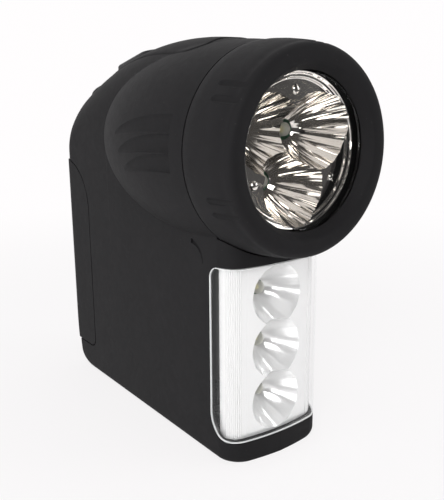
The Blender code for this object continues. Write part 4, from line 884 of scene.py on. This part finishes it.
SPINDLE_ROWS = ((1.6, 0), (2.5, 0), (2.7, 0.2), (2.7, 0.8), (2.4, 1.0))
CELL_ROWS = ((4.9, 0), (5.2, 0.3), (5.2, 43.6), (4.9, 44.0), (2.0, 44.0), (1.9, 44.6), (1.7, 44.8))


class FLASHLIGHT_OT_bezel(bpy.types.Operator):
    """Make the bezel with its grip slots, and the lens behind it"""

    bl_idname = "flashlight.bezel"
    bl_label = "Bezel and lens"

    def execute(self, context):
        s = sizes()
        head = Vector((0, depth(0), s.head_axis_height))
        rim = 2.8 * MM
        lip, lip_at, lens_room = 25.6 * MM, 4.1 * MM, 32.35 * MM
        profile = [(s.bezel_back_radius - 0.3 * MM, s.seam), (s.bezel_back_radius, s.seam - 0.5 * MM)]
        profile += [(s.bezel_back_radius + BEZEL_SWELL, 17.5 * MM),
                    (s.bezel_back_radius - 0.1 * MM, 13.0 * MM),
                    (s.bezel_back_radius - 0.5 * MM, 9.0 * MM)]
        profile += [(s.bezel_front_radius + 0.55 * MM, 5.2 * MM),
                    (s.bezel_front_radius + 0.25 * MM, 4.6 * MM)]
        profile += arc((s.bezel_front_radius - rim, rim), rim, 0, -QUARTER, 10)
        profile += [(s.bezel_mouth_radius + 0.6 * MM, 0), (s.bezel_mouth_radius, 0.5 * MM),
                    (lip + 0.3 * MM, lip_at - 0.7 * MM), (lip, lip_at), (lens_room, lip_at),
                    (lens_room, s.seam)]
        bezel = lathe("bezel_shell", profile, head, "Y", 160, closed=True)
        slot_radius, sink = 1.5 * MM, 0.85 * MM
        slots = []
        for number in range(6):
            for way in (-1, 1):
                slot = lathe("slot", points_from(0, SLOT_ROWS), (way * 2.7 * MM, 0, 0), "Y", 16)
                taper = math.atan2(s.bezel_back_radius - s.bezel_front_radius, 13.0 * MM)
                slot.data.transform(Matrix.Rotation(taper, 4, "X"))
                shift(slot, (0, 0, s.bezel_front_radius + slot_radius - sink))
                turn = math.radians(4) + FULL_TURN * number / 6
                slot.data.transform(Matrix.Rotation(turn, 4, "Y"))
                slots.append(shift(slot, head))
        cut(bezel, join(slots))
        dress(bezel, soft_black(), "housing", "housing", "bezel_ring", angle=math.radians(40))

        front = lip_at + SKIN_GAP
        lens = lathe("lens_disc", points_from(front, LENS_ROWS), head, "Y", 128)
        clear = clear_finish("Clear lens", CLEAR_SHADE, 0.03, 0.95)
        dress(lens, clear, "housing", "clear", "head_lens")
        return {"FINISHED"}


def fluted_cup(name, place, mouth, hole, length, flutes, fold, ahead, turn=0.0):
    """The hollow of a cup along +Y: a parabola whose wall is folded into soft flutes."""
    rows = 22
    spread = [(math.sqrt(mouth ** 2 + ahead * (mouth ** 2 - hole ** 2) / length), -ahead)]
    for i in range(rows + 1):
        radius = mouth + (hole - mouth) * i / rows
        spread.append((radius, length * (mouth ** 2 - radius ** 2) / (mouth ** 2 - hole ** 2)))
    spread.append((hole, length + 6.0 * MM))
    points = 6 * flutes
    sections = []
    for radius, along in spread:
        share = max((radius - hole) / (mouth - hole), 0)
        ring = []
        for k in range(points):
            angle = FULL_TURN * k / points + turn
            r = radius - fold * share * abs(math.sin((angle - turn) * flutes / 2))
            ring.append((place[0] + r * math.cos(angle), place[1] + along, place[2] + r * math.sin(angle)))
        sections.append(ring)
    return loft(name, sections)


CUP_FRONT = 9.6 * MM
LED_RADIUS = 2.5 * MM
CUP_HOLE = 2.85 * MM
CUP_LENGTH = 17.5 * MM
LAMP_CUP_LENGTH = 12.0 * MM


def spot_led_places():
    s = sizes()
    places = []
    for number in range(3):
        angle = math.pi / 6 + FULL_TURN * number / 3
        places.append((s.cup_circle * math.cos(angle), s.head_axis_height + s.cup_circle * math.sin(angle)))
    return places


class FLASHLIGHT_OT_spot_reflector(bpy.types.Operator):
    """Make the spot head's chrome reflector with three fluted cups"""

    bl_idname = "flashlight.spot_reflector"
    bl_label = "Spot reflector"

    def execute(self, context):
        s = sizes()
        head = (0, depth(0), s.head_axis_height)
        plate, dome_circle = 8.0 * MM, 19.6 * MM
        reflector = lathe("spot_reflector", points_from(plate, REFLECTOR_ROWS), head, "Y", 160)
        for number, (across, up) in enumerate(spot_led_places()):
            place = (across, depth(CUP_FRONT), up)
            ahead = (3.0 + 0.2 * number) * MM
            turn = 0.04 + 0.09 * number
            cut(reflector, fluted_cup("cup", place, s.cup_mouth, CUP_HOLE, CUP_LENGTH, 20, 0.34 * MM,
                                      ahead, turn))
        for number in range(3):
            angle = QUARTER + FULL_TURN * number / 3
            up = s.head_axis_height + dome_circle * math.sin(angle)
            place = (dome_circle * math.cos(angle), depth(0), up)
            add(reflector, lathe("dome", points_from(CUP_FRONT, DOME_ROWS), place, "Y", 32))
        dress(reflector, chrome(), "housing", "chrome", "head_reflector", angle=math.radians(18))
        return {"FINISHED"}


class FLASHLIGHT_OT_leds(bpy.types.Operator):
    """Make one LED with its die and set copies of it in every cup"""

    bl_idname = "flashlight.leds"
    bl_label = "LEDs"

    def execute(self, context):
        stand, flange = 5.2 * MM, 1.0 * MM
        profile = [(2.9 * MM, flange), (2.9 * MM, 0.1 * MM), (2.8 * MM, 0), (LED_RADIUS, 0)]
        profile += arc((0, flange - stand + LED_RADIUS), LED_RADIUS, 0, -QUARTER, 10)[:-1]
        profile.append((0.1 * MM, flange - stand))
        # Near-white colour and a high least opacity: the epoxy's own pale tint plus a painted highlight on
        # every LED.
        epoxy_and_painted_highlight = clear_finish("LED epoxy", colours().epoxy_and_painted_highlight, 0.38, 0.95, 0.0)
        phosphor = finish("LED phosphor", colours().phosphor, 0.35, blotch=0.2, blotch_scale=800.0)
        led = lathe("led", profile, (0, 0, 0), "Y", 40)
        die = lathe("die", points_from(0, DIE_ROWS), (0, 0, 0), "Y", 24)
        head_front = CUP_FRONT + CUP_LENGTH + 0.9 * MM + SKIN_GAP
        lamp_front = sizes().slab_front + 2.3 * MM + LAMP_CUP_LENGTH + 0.9 * MM + SKIN_GAP
        spots = [("head_led", (x, depth(head_front), z)) for x, z in spot_led_places()]
        lamps = [("side_led", (0, depth(lamp_front), height)) for height in lamp_heights()]
        for number, (kind, place) in enumerate(spots + lamps):
            node = f"{kind}_{number % 3 + 1}"
            dress(shift(copy_of(led, node + "_body"), place), epoxy_and_painted_highlight, "housing", "led", node)
            dress(shift(copy_of(die, node + "_die"), place), phosphor, "housing", "led")
        bpy.data.objects.remove(led)
        bpy.data.objects.remove(die)
        return {"FINISHED"}


def lamp_heights():
    middle = (WINDOW_LOW + WINDOW_HIGH) / 2
    return [middle + (number - 1) * 19.8 * MM for number in range(3)]


class FLASHLIGHT_OT_side_lamp(bpy.types.Operator):
    """Make the wrap-round clear window and the chrome reflector behind it"""

    bl_idname = "flashlight.side_lamp"
    bl_label = "Side lamp"

    def execute(self, context):
        s = sizes()
        skin = cut(slab("window_skin", 0.0, 6), slab("window_inner", 1.7 * MM, 6))
        # A thin pale, almost opaque strip along the window's edge: a painted highlight line where the clear
        # window meets the housing.
        rim = 0.28 * MM
        rim_skin = cut(slab("rim_skin", 0.0, 6), slab("rim_inner", 2 * rim, 6))
        edge = keep(prism("lamp_window_edge", window_outline(0.0), -FAR, FAR, "X"), rim_skin)
        cut(edge, prism("rim_inside", window_outline(-rim), -FAR, FAR, "X"))
        dress(edge, clear_finish("Clear cut edge", (0.93, 0.94, 0.94), 0.75, 0.95, 0.0), "housing", "clear")
        window = keep(prism("lamp_window", window_outline(-rim), -FAR, FAR, "X"), skin)
        dress(window, clear_finish("Clear window", CLEAR_SHADE, 0.03, 0.9), "housing", "clear",
              "side_lamp_cover")

        inset = s.wall + SKIN_GAP
        front = s.slab_front + inset
        skin = cut(slab("reflector_skin", inset, 6), slab("reflector_inner", inset + 1.2 * MM, 6))
        back = depth(s.slab_front + s.wall + SKIN_GAP + 12.2 * MM)
        low, high = WINDOW_LOW + SKIN_GAP, WINDOW_HIGH - SKIN_GAP
        side_back = depth(front + 8.2 * MM)
        reflector = keep(block("lamp_reflector", (-FAR, depth(0), low), (FAR, side_back, high)), skin)
        add(reflector, block("backing", (-13.2 * MM, depth(front + 0.9 * MM), low + 0.2 * MM),
                             (13.2 * MM, back - 0.1 * MM, high - 0.2 * MM)))
        for height in lamp_heights():
            cut(reflector, fluted_cup("cup", (0, depth(front), height), 11.2 * MM, CUP_HOLE, LAMP_CUP_LENGTH,
                                      12, 0.16 * MM, 1.5 * MM))
        dress(reflector, silver(), "housing", "chrome", "side_reflector", angle=math.radians(18))

        centre = front_corner()[0]
        radius = CORNER - inset
        rib = rod("rib", 0.34 * MM, low + 0.4 * MM, high - 0.4 * MM, (0, 0, 0), "Z", 12)
        ribs = []
        for side in (-1, 1):
            for number in range(8):
                angle = math.radians(16 + 7.5 * number)
                x = side * (s.body_half_width - CORNER + radius * math.sin(angle))
                ribs.append(shift(copy_of(rib, "rib"), (x, depth(centre - radius * math.cos(angle)), 0)))
        join(ribs)
        bpy.data.objects.remove(rib)
        ribs[0].name = "lamp_reflector_ribs"
        dress(ribs[0], silver(), "housing", "chrome")
        return {"FINISHED"}


def patch(name, outline_half, proud, sink, round_radius, columns=28):
    """A skin patch that follows the housing's top between mirrored outlines, with a rounded border."""
    bm = bmesh.new()
    rows = []
    front, back = outline_half[0][1], outline_half[-1][1]
    for half, y in outline_half:
        row = []
        for i in range(columns + 1):
            x = half * math.sin(QUARTER * (2 * i / columns - 1))
            edge = min(half - abs(x), y - front, back - y)
            fall = 0.0
            if edge < round_radius:
                fall = round_radius - math.sqrt(max(round_radius ** 2 - (round_radius - edge) ** 2, 0))
            y_depth = y + sizes().total_length / 2
            row.append(bm.verts.new((x, y, skin_height(x, y_depth) + proud - fall)))
        rows.append(row)
    for near, off in zip(rows, rows[1:]):
        for i in range(columns):
            bm.faces.new((near[i], near[i + 1], off[i + 1], off[i]))
    bmesh.ops.remove_doubles(bm, verts=bm.verts, dist=WELD)
    bmesh.ops.recalc_face_normals(bm, faces=bm.faces)
    push(bm, bm.faces[:], (0, 0, -proud - sink))
    return from_bmesh(name, bm)


def half_outline(outline, rows=90):
    """(half width, y) rows of an outline that is mirrored about the middle plane."""
    right = sorted((y, x) for x, y in outline if x >= 0)
    front, back = right[0][0], right[-1][0]
    lines = []
    for i in range(rows + 1):
        share = (1 - math.cos(math.pi * i / rows)) / 2
        y = front + (back - front) * share
        for (y0, x0), (y1, x1) in zip(right, right[1:]):
            if y0 <= y <= y1 and y1 > y0:
                lines.append((x0 + (x1 - x0) * (y - y0) / (y1 - y0), y))
                break
    return lines


class FLASHLIGHT_OT_switches(bpy.types.Operator):
    """Make the switch pad and the two push buttons"""

    bl_idname = "flashlight.switches"
    bl_label = "Pad and buttons"

    def execute(self, context):
        pad = patch("switch_pad_skin", half_outline(pad_outline(0.0)), 0.4 * MM, 0.85 * MM, 0.5 * MM)
        cut(pad, prism("button_hole", spot_outline(GAP), sizes().head_axis_height, FAR, "Z"))
        dress(pad, pad_black(), "housing", "pad", "switch_pad")

        bm = bmesh.new()
        rings = []
        radius = 0.9 * MM
        for inset, drop in [(0, None)] + [(radius * (1 - math.cos(a)), radius * (1 - math.sin(a)))
                                          for a in [QUARTER * i / 6 for i in range(7)]]:
            ring = []
            for x, y in spot_outline(-inset):
                y_depth = y + sizes().total_length / 2
                share = (y_depth - SPOT_FRONT) / (SPOT_BACK - SPOT_FRONT)
                proud = SPOT_FRONT_PROUD + (SPOT_PROUD - SPOT_FRONT_PROUD) * share
                top = crown_line(y_depth) + proud
                height = skin_height(x, y_depth) - 3 * MM if drop is None else top - drop
                ring.append(bm.verts.new((x, y, height)))
            rings.append(ring)
        skin_over(bm, rings)
        bmesh.ops.triangulate(bm, faces=[face for face in bm.faces if len(face.verts) > 4])
        button = cut(from_bmesh("spot_button_cap", bm), body("under_button", 0.3 * MM, 3))
        middle = (SPOT_FRONT + SPOT_BACK) / 2
        spot = side_point((middle, crown_line(middle)))
        add(button, rod("stem", 1.8 * MM, -6.0 * MM, 0.5 * MM, spot, "Z", 24))
        dress(button, satin_black(), "spot_button", "black_plastic", "spot_button")

        proud, radius = 2.5 * MM, 1.7 * MM
        stem, under = 1.8 * MM * LAMP_LONG / LAMP_WIDE, -3.2 * MM
        profile = [(stem, -6.0 * MM), (stem, under), (LAMP_LONG, under)]
        profile += arc((LAMP_LONG - radius, proud - radius - 0.2 * MM), radius, 0, QUARTER * 0.85, 8)
        profile += [(LAMP_LONG * 0.5, proud - 0.06 * MM), (LAMP_LONG * 0.2, proud), (LAMP_LONG * 0.02, proud)]
        cap = oval("lamp_button_cap", profile, 72)
        dress(cap, satin_black(), "lamp_button", "black_plastic", "lamp_button")
        return {"FINISHED"}


class FLASHLIGHT_OT_rear_cover(bpy.types.Operator):
    """Make the sliding rear cover"""

    bl_idname = "flashlight.rear_cover"
    bl_label = "Rear cover"

    def execute(self, context):
        s = sizes()
        skin = cut(slab("cover_skin", 0.0, 5), slab("cover_inner", s.wall, 4))
        skin.location.y = s.cover_proud
        settle(skin)
        cover = keep(prism("rear_cover_shell", cover_outline(0.0), -FAR, FAR, "X"), skin)
        dress(cover, soft_black(), "rear_cover", "housing", "rear_cover")
        return {"FINISHED"}


class FLASHLIGHT_OT_crank(bpy.types.Operator):
    """Make the crank arm with its folding handle"""

    bl_idname = "flashlight.crank"
    bl_label = "Crank and handle"

    def execute(self, context):
        s = sizes()
        start = s.body_half_width + 3 * GAP
        end = start + ARM_THICKNESS
        y, hub_z = depth(CRANK_PLACE[0]), CRANK_PLACE[1]
        pivot_z = hub_z - s.crank_reach
        slot_half, end_radius = 4.25 * MM, 7.25 * MM
        hub = rod("crank_arm_shell", 9.0 * MM, start, end, (0, y, hub_z), "X", 96)
        tail = rod("tail", end_radius, start, end, (0, y, pivot_z + 3.0 * MM), "X", 96)
        join([hub, tail])
        bpy.ops.object.mode_set(mode="EDIT")
        bpy.ops.mesh.select_all(action="SELECT")
        bpy.ops.mesh.convex_hull()
        bpy.ops.object.mode_set(mode="OBJECT")
        round_edges(hub, 1.1 * MM, 5, math.radians(60))
        slot_top = pivot_z + 3.4 * MM + HANDLE_LENGTH + 1.0 * MM + 4 * GAP
        slot = block("slot", (0, y - slot_half, -FAR), (FAR, y + slot_half, slot_top))
        cut(hub, round_edges(slot, 0.8 * MM))
        middle = (start + end) / 2
        pivot = (middle, y, pivot_z)
        cut(hub, rod("pin_hole", PIN_BORE, -FAR, FAR, pivot, "Y", 32))
        spline = s.body_half_width + 2 * GAP - 2.8 * MM
        add(hub, rod("spline", 3.0 * MM, spline, start + OVERLAP, (0, y, hub_z), "X", 24))
        cut(hub, rod("bore", 1.6 * MM, 0, FAR, (0, y, hub_z), "X", 32))
        cut(hub, rod("seat", SCREW_HEAD + GAP, end - 2.15 * MM, FAR, (0, y, hub_z), "X", 48))
        hub_place = (0, y, hub_z)
        cut(hub, lathe("hub_ring", points_from(end, HUB_RING_ROWS), hub_place, "X", 64, closed=True))
        dress(hub, satin_black(), "crank", "black_plastic", "crank_arm")

        knuckle, half = 3.4 * MM, 3.9 * MM
        swivel = rod("handle_swivel_body", knuckle, -half, half, pivot, "Y", 48)
        round_edges(swivel, 0.4 * MM)
        spindle = [(1.6 * MM, OVERLAP)] + points_from(knuckle + 2 * GAP + HANDLE_LENGTH, SPINDLE_ROWS)
        add(swivel, lathe("spindle", spindle, pivot, "Z", 32))
        cut(swivel, rod("pin_bore", PIN_BORE, -FAR, FAR, pivot, "Y", 32))
        dress(swivel, grey_plastic(), "swivel", "grey_plastic", "handle_swivel")

        low, high = knuckle + GAP, knuckle + GAP + HANDLE_LENGTH
        inner, outer, edge, groove = 1.95 * MM, 3.9 * MM, 0.9 * MM, 3.55 * MM
        profile = [(inner, low), (outer - edge, low)]
        profile += arc((outer - edge, low + edge), edge, -QUARTER, 0, 4)[1:]
        for number in range(6):
            along = low + 3.2 * MM + number * 2.2 * MM
            profile += [(outer, along), (groove, along + 0.3 * MM), (groove, along + 0.7 * MM),
                        (outer, along + 1.0 * MM)]
        profile += arc((outer - edge, high - edge), edge, 0, QUARTER, 4) + [(inner, high)]
        grip = lathe("handle_grip", profile, pivot, "Z", 64, closed=True)
        dress(grip, soft_black(), "handle", "housing", "crank_handle")

        pin_half = end_radius - SKIN_GAP
        pin = rod("handle_pin", 1.1 * MM, -pin_half, pin_half, pivot, "Y", 32)
        dress(round_edges(pin, 0.2 * MM), steel(), "crank", "steel", "handle_pivot_pin")
        return {"FINISHED"}


class FLASHLIGHT_OT_screws(bpy.types.Operator):
    """Make one slotted screw and set copies in the housing and the crank"""

    bl_idname = "flashlight.screws"
    bl_label = "Screws"

    def execute(self, context):
        s = sizes()
        long = s.body_half_width - SCREW_SINK + GAP
        crank_seat = s.body_half_width + 2 * GAP + ARM_THICKNESS - SCREW_HEAD_HEIGHT + SKIN_GAP
        rows = [(f"housing_screw_{number}", place, long, -12.0 * MM, "housing")
                for number, place in enumerate(SCREW_PLACES, 1)]
        rows.append(("crank_screw", CRANK_PLACE, crank_seat, 14.0 * MM, "crank"))
        for node, place, seat, point, body_name in rows:
            head = seat + SCREW_HEAD_HEIGHT
            profile = [(1.25 * MM, point), (1.25 * MM, seat), (2.6 * MM, seat), (SCREW_HEAD, seat + 0.1 * MM),
                       (SCREW_HEAD, head - 0.5 * MM), (2.5 * MM, head - 0.15 * MM), (2.1 * MM, head)]
            screw = lathe(node + "_body", profile, side_point(place), "X", 40)
            y, z = depth(place[0]), place[1]
            slot = block("slot", (head - 0.7 * MM, y - 0.35 * MM, z - FAR),
                         (head + OVERLAP, y + 0.35 * MM, z + FAR))
            dress(cut(screw, slot), steel(), body_name, "steel", node)
        return {"FINISHED"}


class FLASHLIGHT_OT_cells(bpy.types.Operator):
    """Make one cell and set three of them in the bay"""

    bl_idname = "flashlight.cells"
    bl_label = "Cells"

    def execute(self, context):
        length = 44.0 * MM
        sleeve = finish("Cell sleeve", colours().sleeve, 0.35, blotch=0.05, grain_scale=700.0, coat=0.4)
        for number in range(3):
            place = ((number - 1) * 11.6 * MM, depth(127.6 * MM), 30.0 * MM)
            cell = lathe(f"battery_cell_{number + 1}_body", points_from(0, CELL_ROWS), place, "Z", 48)
            dress(cell, sleeve, "housing", "sleeve", f"battery_cell_{number + 1}")
            cell.data.materials.append(steel())
            for face in cell.data.polygons:
                if face.center.z > place[2] + length - 0.2 * MM or face.center.z < place[2] + 0.1 * MM:
                    face.material_index = 1
        return {"FINISHED"}


class FLASHLIGHT_OT_inner_finishes(bpy.types.Operator):
    """Give every CAD piece that stays its own finish"""

    bl_idname = "flashlight.inner_finishes"
    bl_label = "Inner finishes"

    def execute(self, context):
        nylon = finish("White nylon", (0.82, 0.81, 0.77), 0.45, blotch=0.05, grain_scale=900.0)
        brass = finish("Brass", (0.8, 0.62, 0.3), 0.3, 1.0, blotch=0.1, scuff=0.1)
        winding = finish("Enamelled winding", (0.72, 0.36, 0.2), 0.35, 0.8, blotch=0.2, blotch_scale=900.0)
        ferrite = finish("Ferrite", (0.08, 0.08, 0.085), 0.6, blotch=0.15, grain_scale=1200.0)
        switch = finish("Switch body", (0.05, 0.05, 0.05), 0.5)
        choices = {
            "lens_gasket": pad_black(), "battery_holder": satin_black(), "switch_bracket": grey_plastic(),
            "spot_switch": switch, "lamp_switch": switch, "gear_plate": grey_plastic(),
            "head_led_board": board_green(), "side_led_board": board_green(), "circuit_board": board_green(),
            "low_contact": brass, "high_contact": brass, "rotor_pinion": brass, "drive_gear": nylon,
            "compound_gear_1": nylon, "compound_gear_2": nylon,
            "gear_axle_1": steel(), "gear_axle_2": steel(),
            "plate_screw_1": steel(), "plate_screw_2": steel(), "plate_screw_3": steel(),
            "generator_can": steel(), "generator_lid": steel(), "generator_coil": winding,
            "generator_rotor": ferrite, "capacitor": ferrite,
        }
        for node, material in choices.items():
            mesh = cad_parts[node].data
            mesh.materials.clear()
            mesh.materials.append(material)
        return {"FINISHED"}


def area_light(name, place, target, width, power, tint=(1, 1, 1)):
    lamp = bpy.data.lights.new(name, "AREA")
    lamp.shape = "RECTANGLE"
    lamp.size = width[0]
    lamp.size_y = width[1]
    lamp.energy = power
    lamp.color = tint
    item = bpy.data.objects.new(name, lamp)
    item.location = place
    item.rotation_euler = (Vector(target) - Vector(place)).to_track_quat("-Z", "Y").to_euler()
    bpy.context.scene.collection.objects.link(item)


def seen_ray(tree):
    """One for rays from the camera, and one for rays that metal or glass sends on."""
    path = tree.nodes.new("ShaderNodeLightPath").outputs
    mirrored = calculate(tree, "MAXIMUM", path["Is Glossy Ray"], path["Is Transmission Ray"])
    return path["Is Camera Ray"], mirrored


STUDIO_WHITE = (1, 0.985, 0.99, 1)


def blend(tree, share, first, second, output):
    """Ends a tree in a mix of two shaders."""
    mix = make(tree, "MixShader", {"Fac": share, 1: first, 2: second})
    tree.links.new(mix.outputs["Shader"], tree.nodes[output].inputs["Surface"])


def paper():
    """Pale paper that keeps the shadow and runs out into plain white."""
    material = bpy.data.materials.new("Studio paper")
    material.use_nodes = True
    tree = material.node_tree
    shader = tree.nodes["Principled BSDF"]
    set_sockets(tree, shader, {"Base Color": (*colours().floor, 1), "Roughness": 0.9,
                               "Specular IOR Level": 0.1})
    place = tree.nodes.new("ShaderNodeTexCoord").outputs["Object"]
    away = make(tree, "VectorMath", {0: place}, operation="LENGTH").outputs["Value"]
    fade = ranged(tree, away, (0.12, 0.5), (0.8, 1.0), "SMOOTHSTEP")
    ahead = make(tree, "SeparateXYZ", {0: place}).outputs["Y"]
    dim = ranged(tree, ahead, (-0.42, -0.26), (0.08, 1.0), "SMOOTHSTEP")
    camera, mirrored = seen_ray(tree)
    bright = calculate(tree, "MAXIMUM", camera, dim)
    white = make(tree, "Emission", {"Color": STUDIO_WHITE, "Strength": bright})
    share = calculate(tree, "MULTIPLY", fade, calculate(tree, "MAXIMUM", camera, mirrored))
    blend(tree, share, shader.outputs["BSDF"], white.outputs["Emission"], "Material Output")
    return material


def surround():
    """White to the camera, and to metal and glass white behind the object and dim before it."""
    world = bpy.data.worlds.new("Studio surround")
    world.use_nodes = True
    tree = world.node_tree
    plain = tree.nodes["Background"]
    set_sockets(tree, plain, {"Color": (1, 1, 1, 1), "Strength": 0.45})
    place = tree.nodes.new("ShaderNodeTexCoord").outputs["Generated"]
    ahead = make(tree, "VectorMath", {0: place, 1: (-0.3, -0.95, 0.1)}, operation="DOT_PRODUCT")
    dim = ranged(tree, ahead.outputs["Value"], (-0.3, 0.5), (1.0, 0.07))
    camera, mirrored = seen_ray(tree)
    bright = calculate(tree, "MAXIMUM", camera, dim)
    seen = make(tree, "Background", {"Color": STUDIO_WHITE, "Strength": bright}).outputs["Background"]
    share = calculate(tree, "MAXIMUM", camera, mirrored)
    blend(tree, share, plain.outputs["Background"], seen, "World Output")
    return world


class FLASHLIGHT_OT_studio(bpy.types.Operator):
    """Set the floor, the white surround, the soft lights and the camera"""

    bl_idname = "flashlight.studio"
    bl_label = "Studio"

    def execute(self, context):
        scene = context.scene
        scene.view_settings.view_transform = "Standard"
        bpy.ops.object.select_all(action="DESELECT")
        bpy.ops.mesh.primitive_plane_add(size=6.0, location=(0, 0, 0))
        floor = context.object
        floor.name = "studio_floor"
        floor.data.materials.append(paper())

        scene.world = surround()
        target = (0, 0, 0.08)
        area_light("Key light", (-0.55, -0.6, 0.55), target, (0.5, 0.4), 4.0)
        area_light("Top light", (0.1, 0.1, 0.95), target, (0.8, 0.8), 1.6)
        area_light("Low light", (-0.5, -0.1, 0.03), (0, 0, 0.1), (0.5, 0.1), 1.1)
        area_light("Fill light", (0.75, -0.5, 0.35), target, (0.4, 0.5), 1.5)

        yaw, pitch, roll = math.radians(36.351), math.radians(13.978), math.radians(-0.38)
        back = Vector((-math.sin(yaw) * math.cos(pitch), -math.cos(yaw) * math.cos(pitch), math.sin(pitch)))
        right = Vector((0, 0, 1)).cross(back).normalized()
        up = back.cross(right)
        turned_right = math.cos(roll) * right + math.sin(roll) * up
        turned_up = -math.sin(roll) * right + math.cos(roll) * up
        place = Vector((-149.96, -226.19, 132.18)) * MM
        matrix = Matrix((
            (turned_right.x, turned_up.x, back.x, place.x),
            (turned_right.y, turned_up.y, back.y, place.y),
            (turned_right.z, turned_up.z, back.z, place.z),
            (0, 0, 0, 1),
        ))
        lens = bpy.data.cameras.new("Photo camera")
        lens.sensor_fit = "HORIZONTAL"
        lens.sensor_width = 36.0
        lens.lens = 54.94
        camera = bpy.data.objects.new("Photo camera", lens)
        camera.matrix_world = matrix
        scene.collection.objects.link(camera)
        scene.camera = camera
        return {"FINISHED"}


STEPS = ("housing", "bezel", "spot_reflector", "leds", "side_lamp", "switches", "rear_cover", "crank",
         "screws", "cells", "inner_finishes", "studio")


class FLASHLIGHT_PT_panel(bpy.types.Panel):
    """Lists the flashlight's steps, sizes and colours"""

    bl_label = "Wind-up Flashlight"
    bl_idname = "FLASHLIGHT_PT_panel"
    bl_space_type = "VIEW_3D"
    bl_region_type = "UI"
    bl_category = "Flashlight"

    def draw(self, context):
        layout = self.layout
        for step in STEPS:
            layout.operator("flashlight." + step)
        for group in (context.scene.flashlight_sizes, context.scene.flashlight_colours):
            box = layout.box()
            for name in group.__annotations__:
                box.prop(group, name)


CLASSES = (
    FlashlightSizes, FlashlightColours, FLASHLIGHT_OT_housing, FLASHLIGHT_OT_bezel,
    FLASHLIGHT_OT_spot_reflector, FLASHLIGHT_OT_leds, FLASHLIGHT_OT_side_lamp, FLASHLIGHT_OT_switches,
    FLASHLIGHT_OT_rear_cover,
    FLASHLIGHT_OT_crank, FLASHLIGHT_OT_screws, FLASHLIGHT_OT_cells, FLASHLIGHT_OT_inner_finishes,
    FLASHLIGHT_OT_studio, FLASHLIGHT_PT_panel,
)


def register():
    for item in CLASSES:
        bpy.utils.register_class(item)
    bpy.types.Scene.flashlight_sizes = PointerProperty(type=FlashlightSizes)
    bpy.types.Scene.flashlight_colours = PointerProperty(type=FlashlightColours)


def unregister():
    del bpy.types.Scene.flashlight_colours
    del bpy.types.Scene.flashlight_sizes
    for item in reversed(CLASSES):
        bpy.utils.unregister_class(item)


def main():
    register()
    for step in STEPS:
        getattr(bpy.ops.flashlight, step)()


if __name__ == "__main__":
    main()
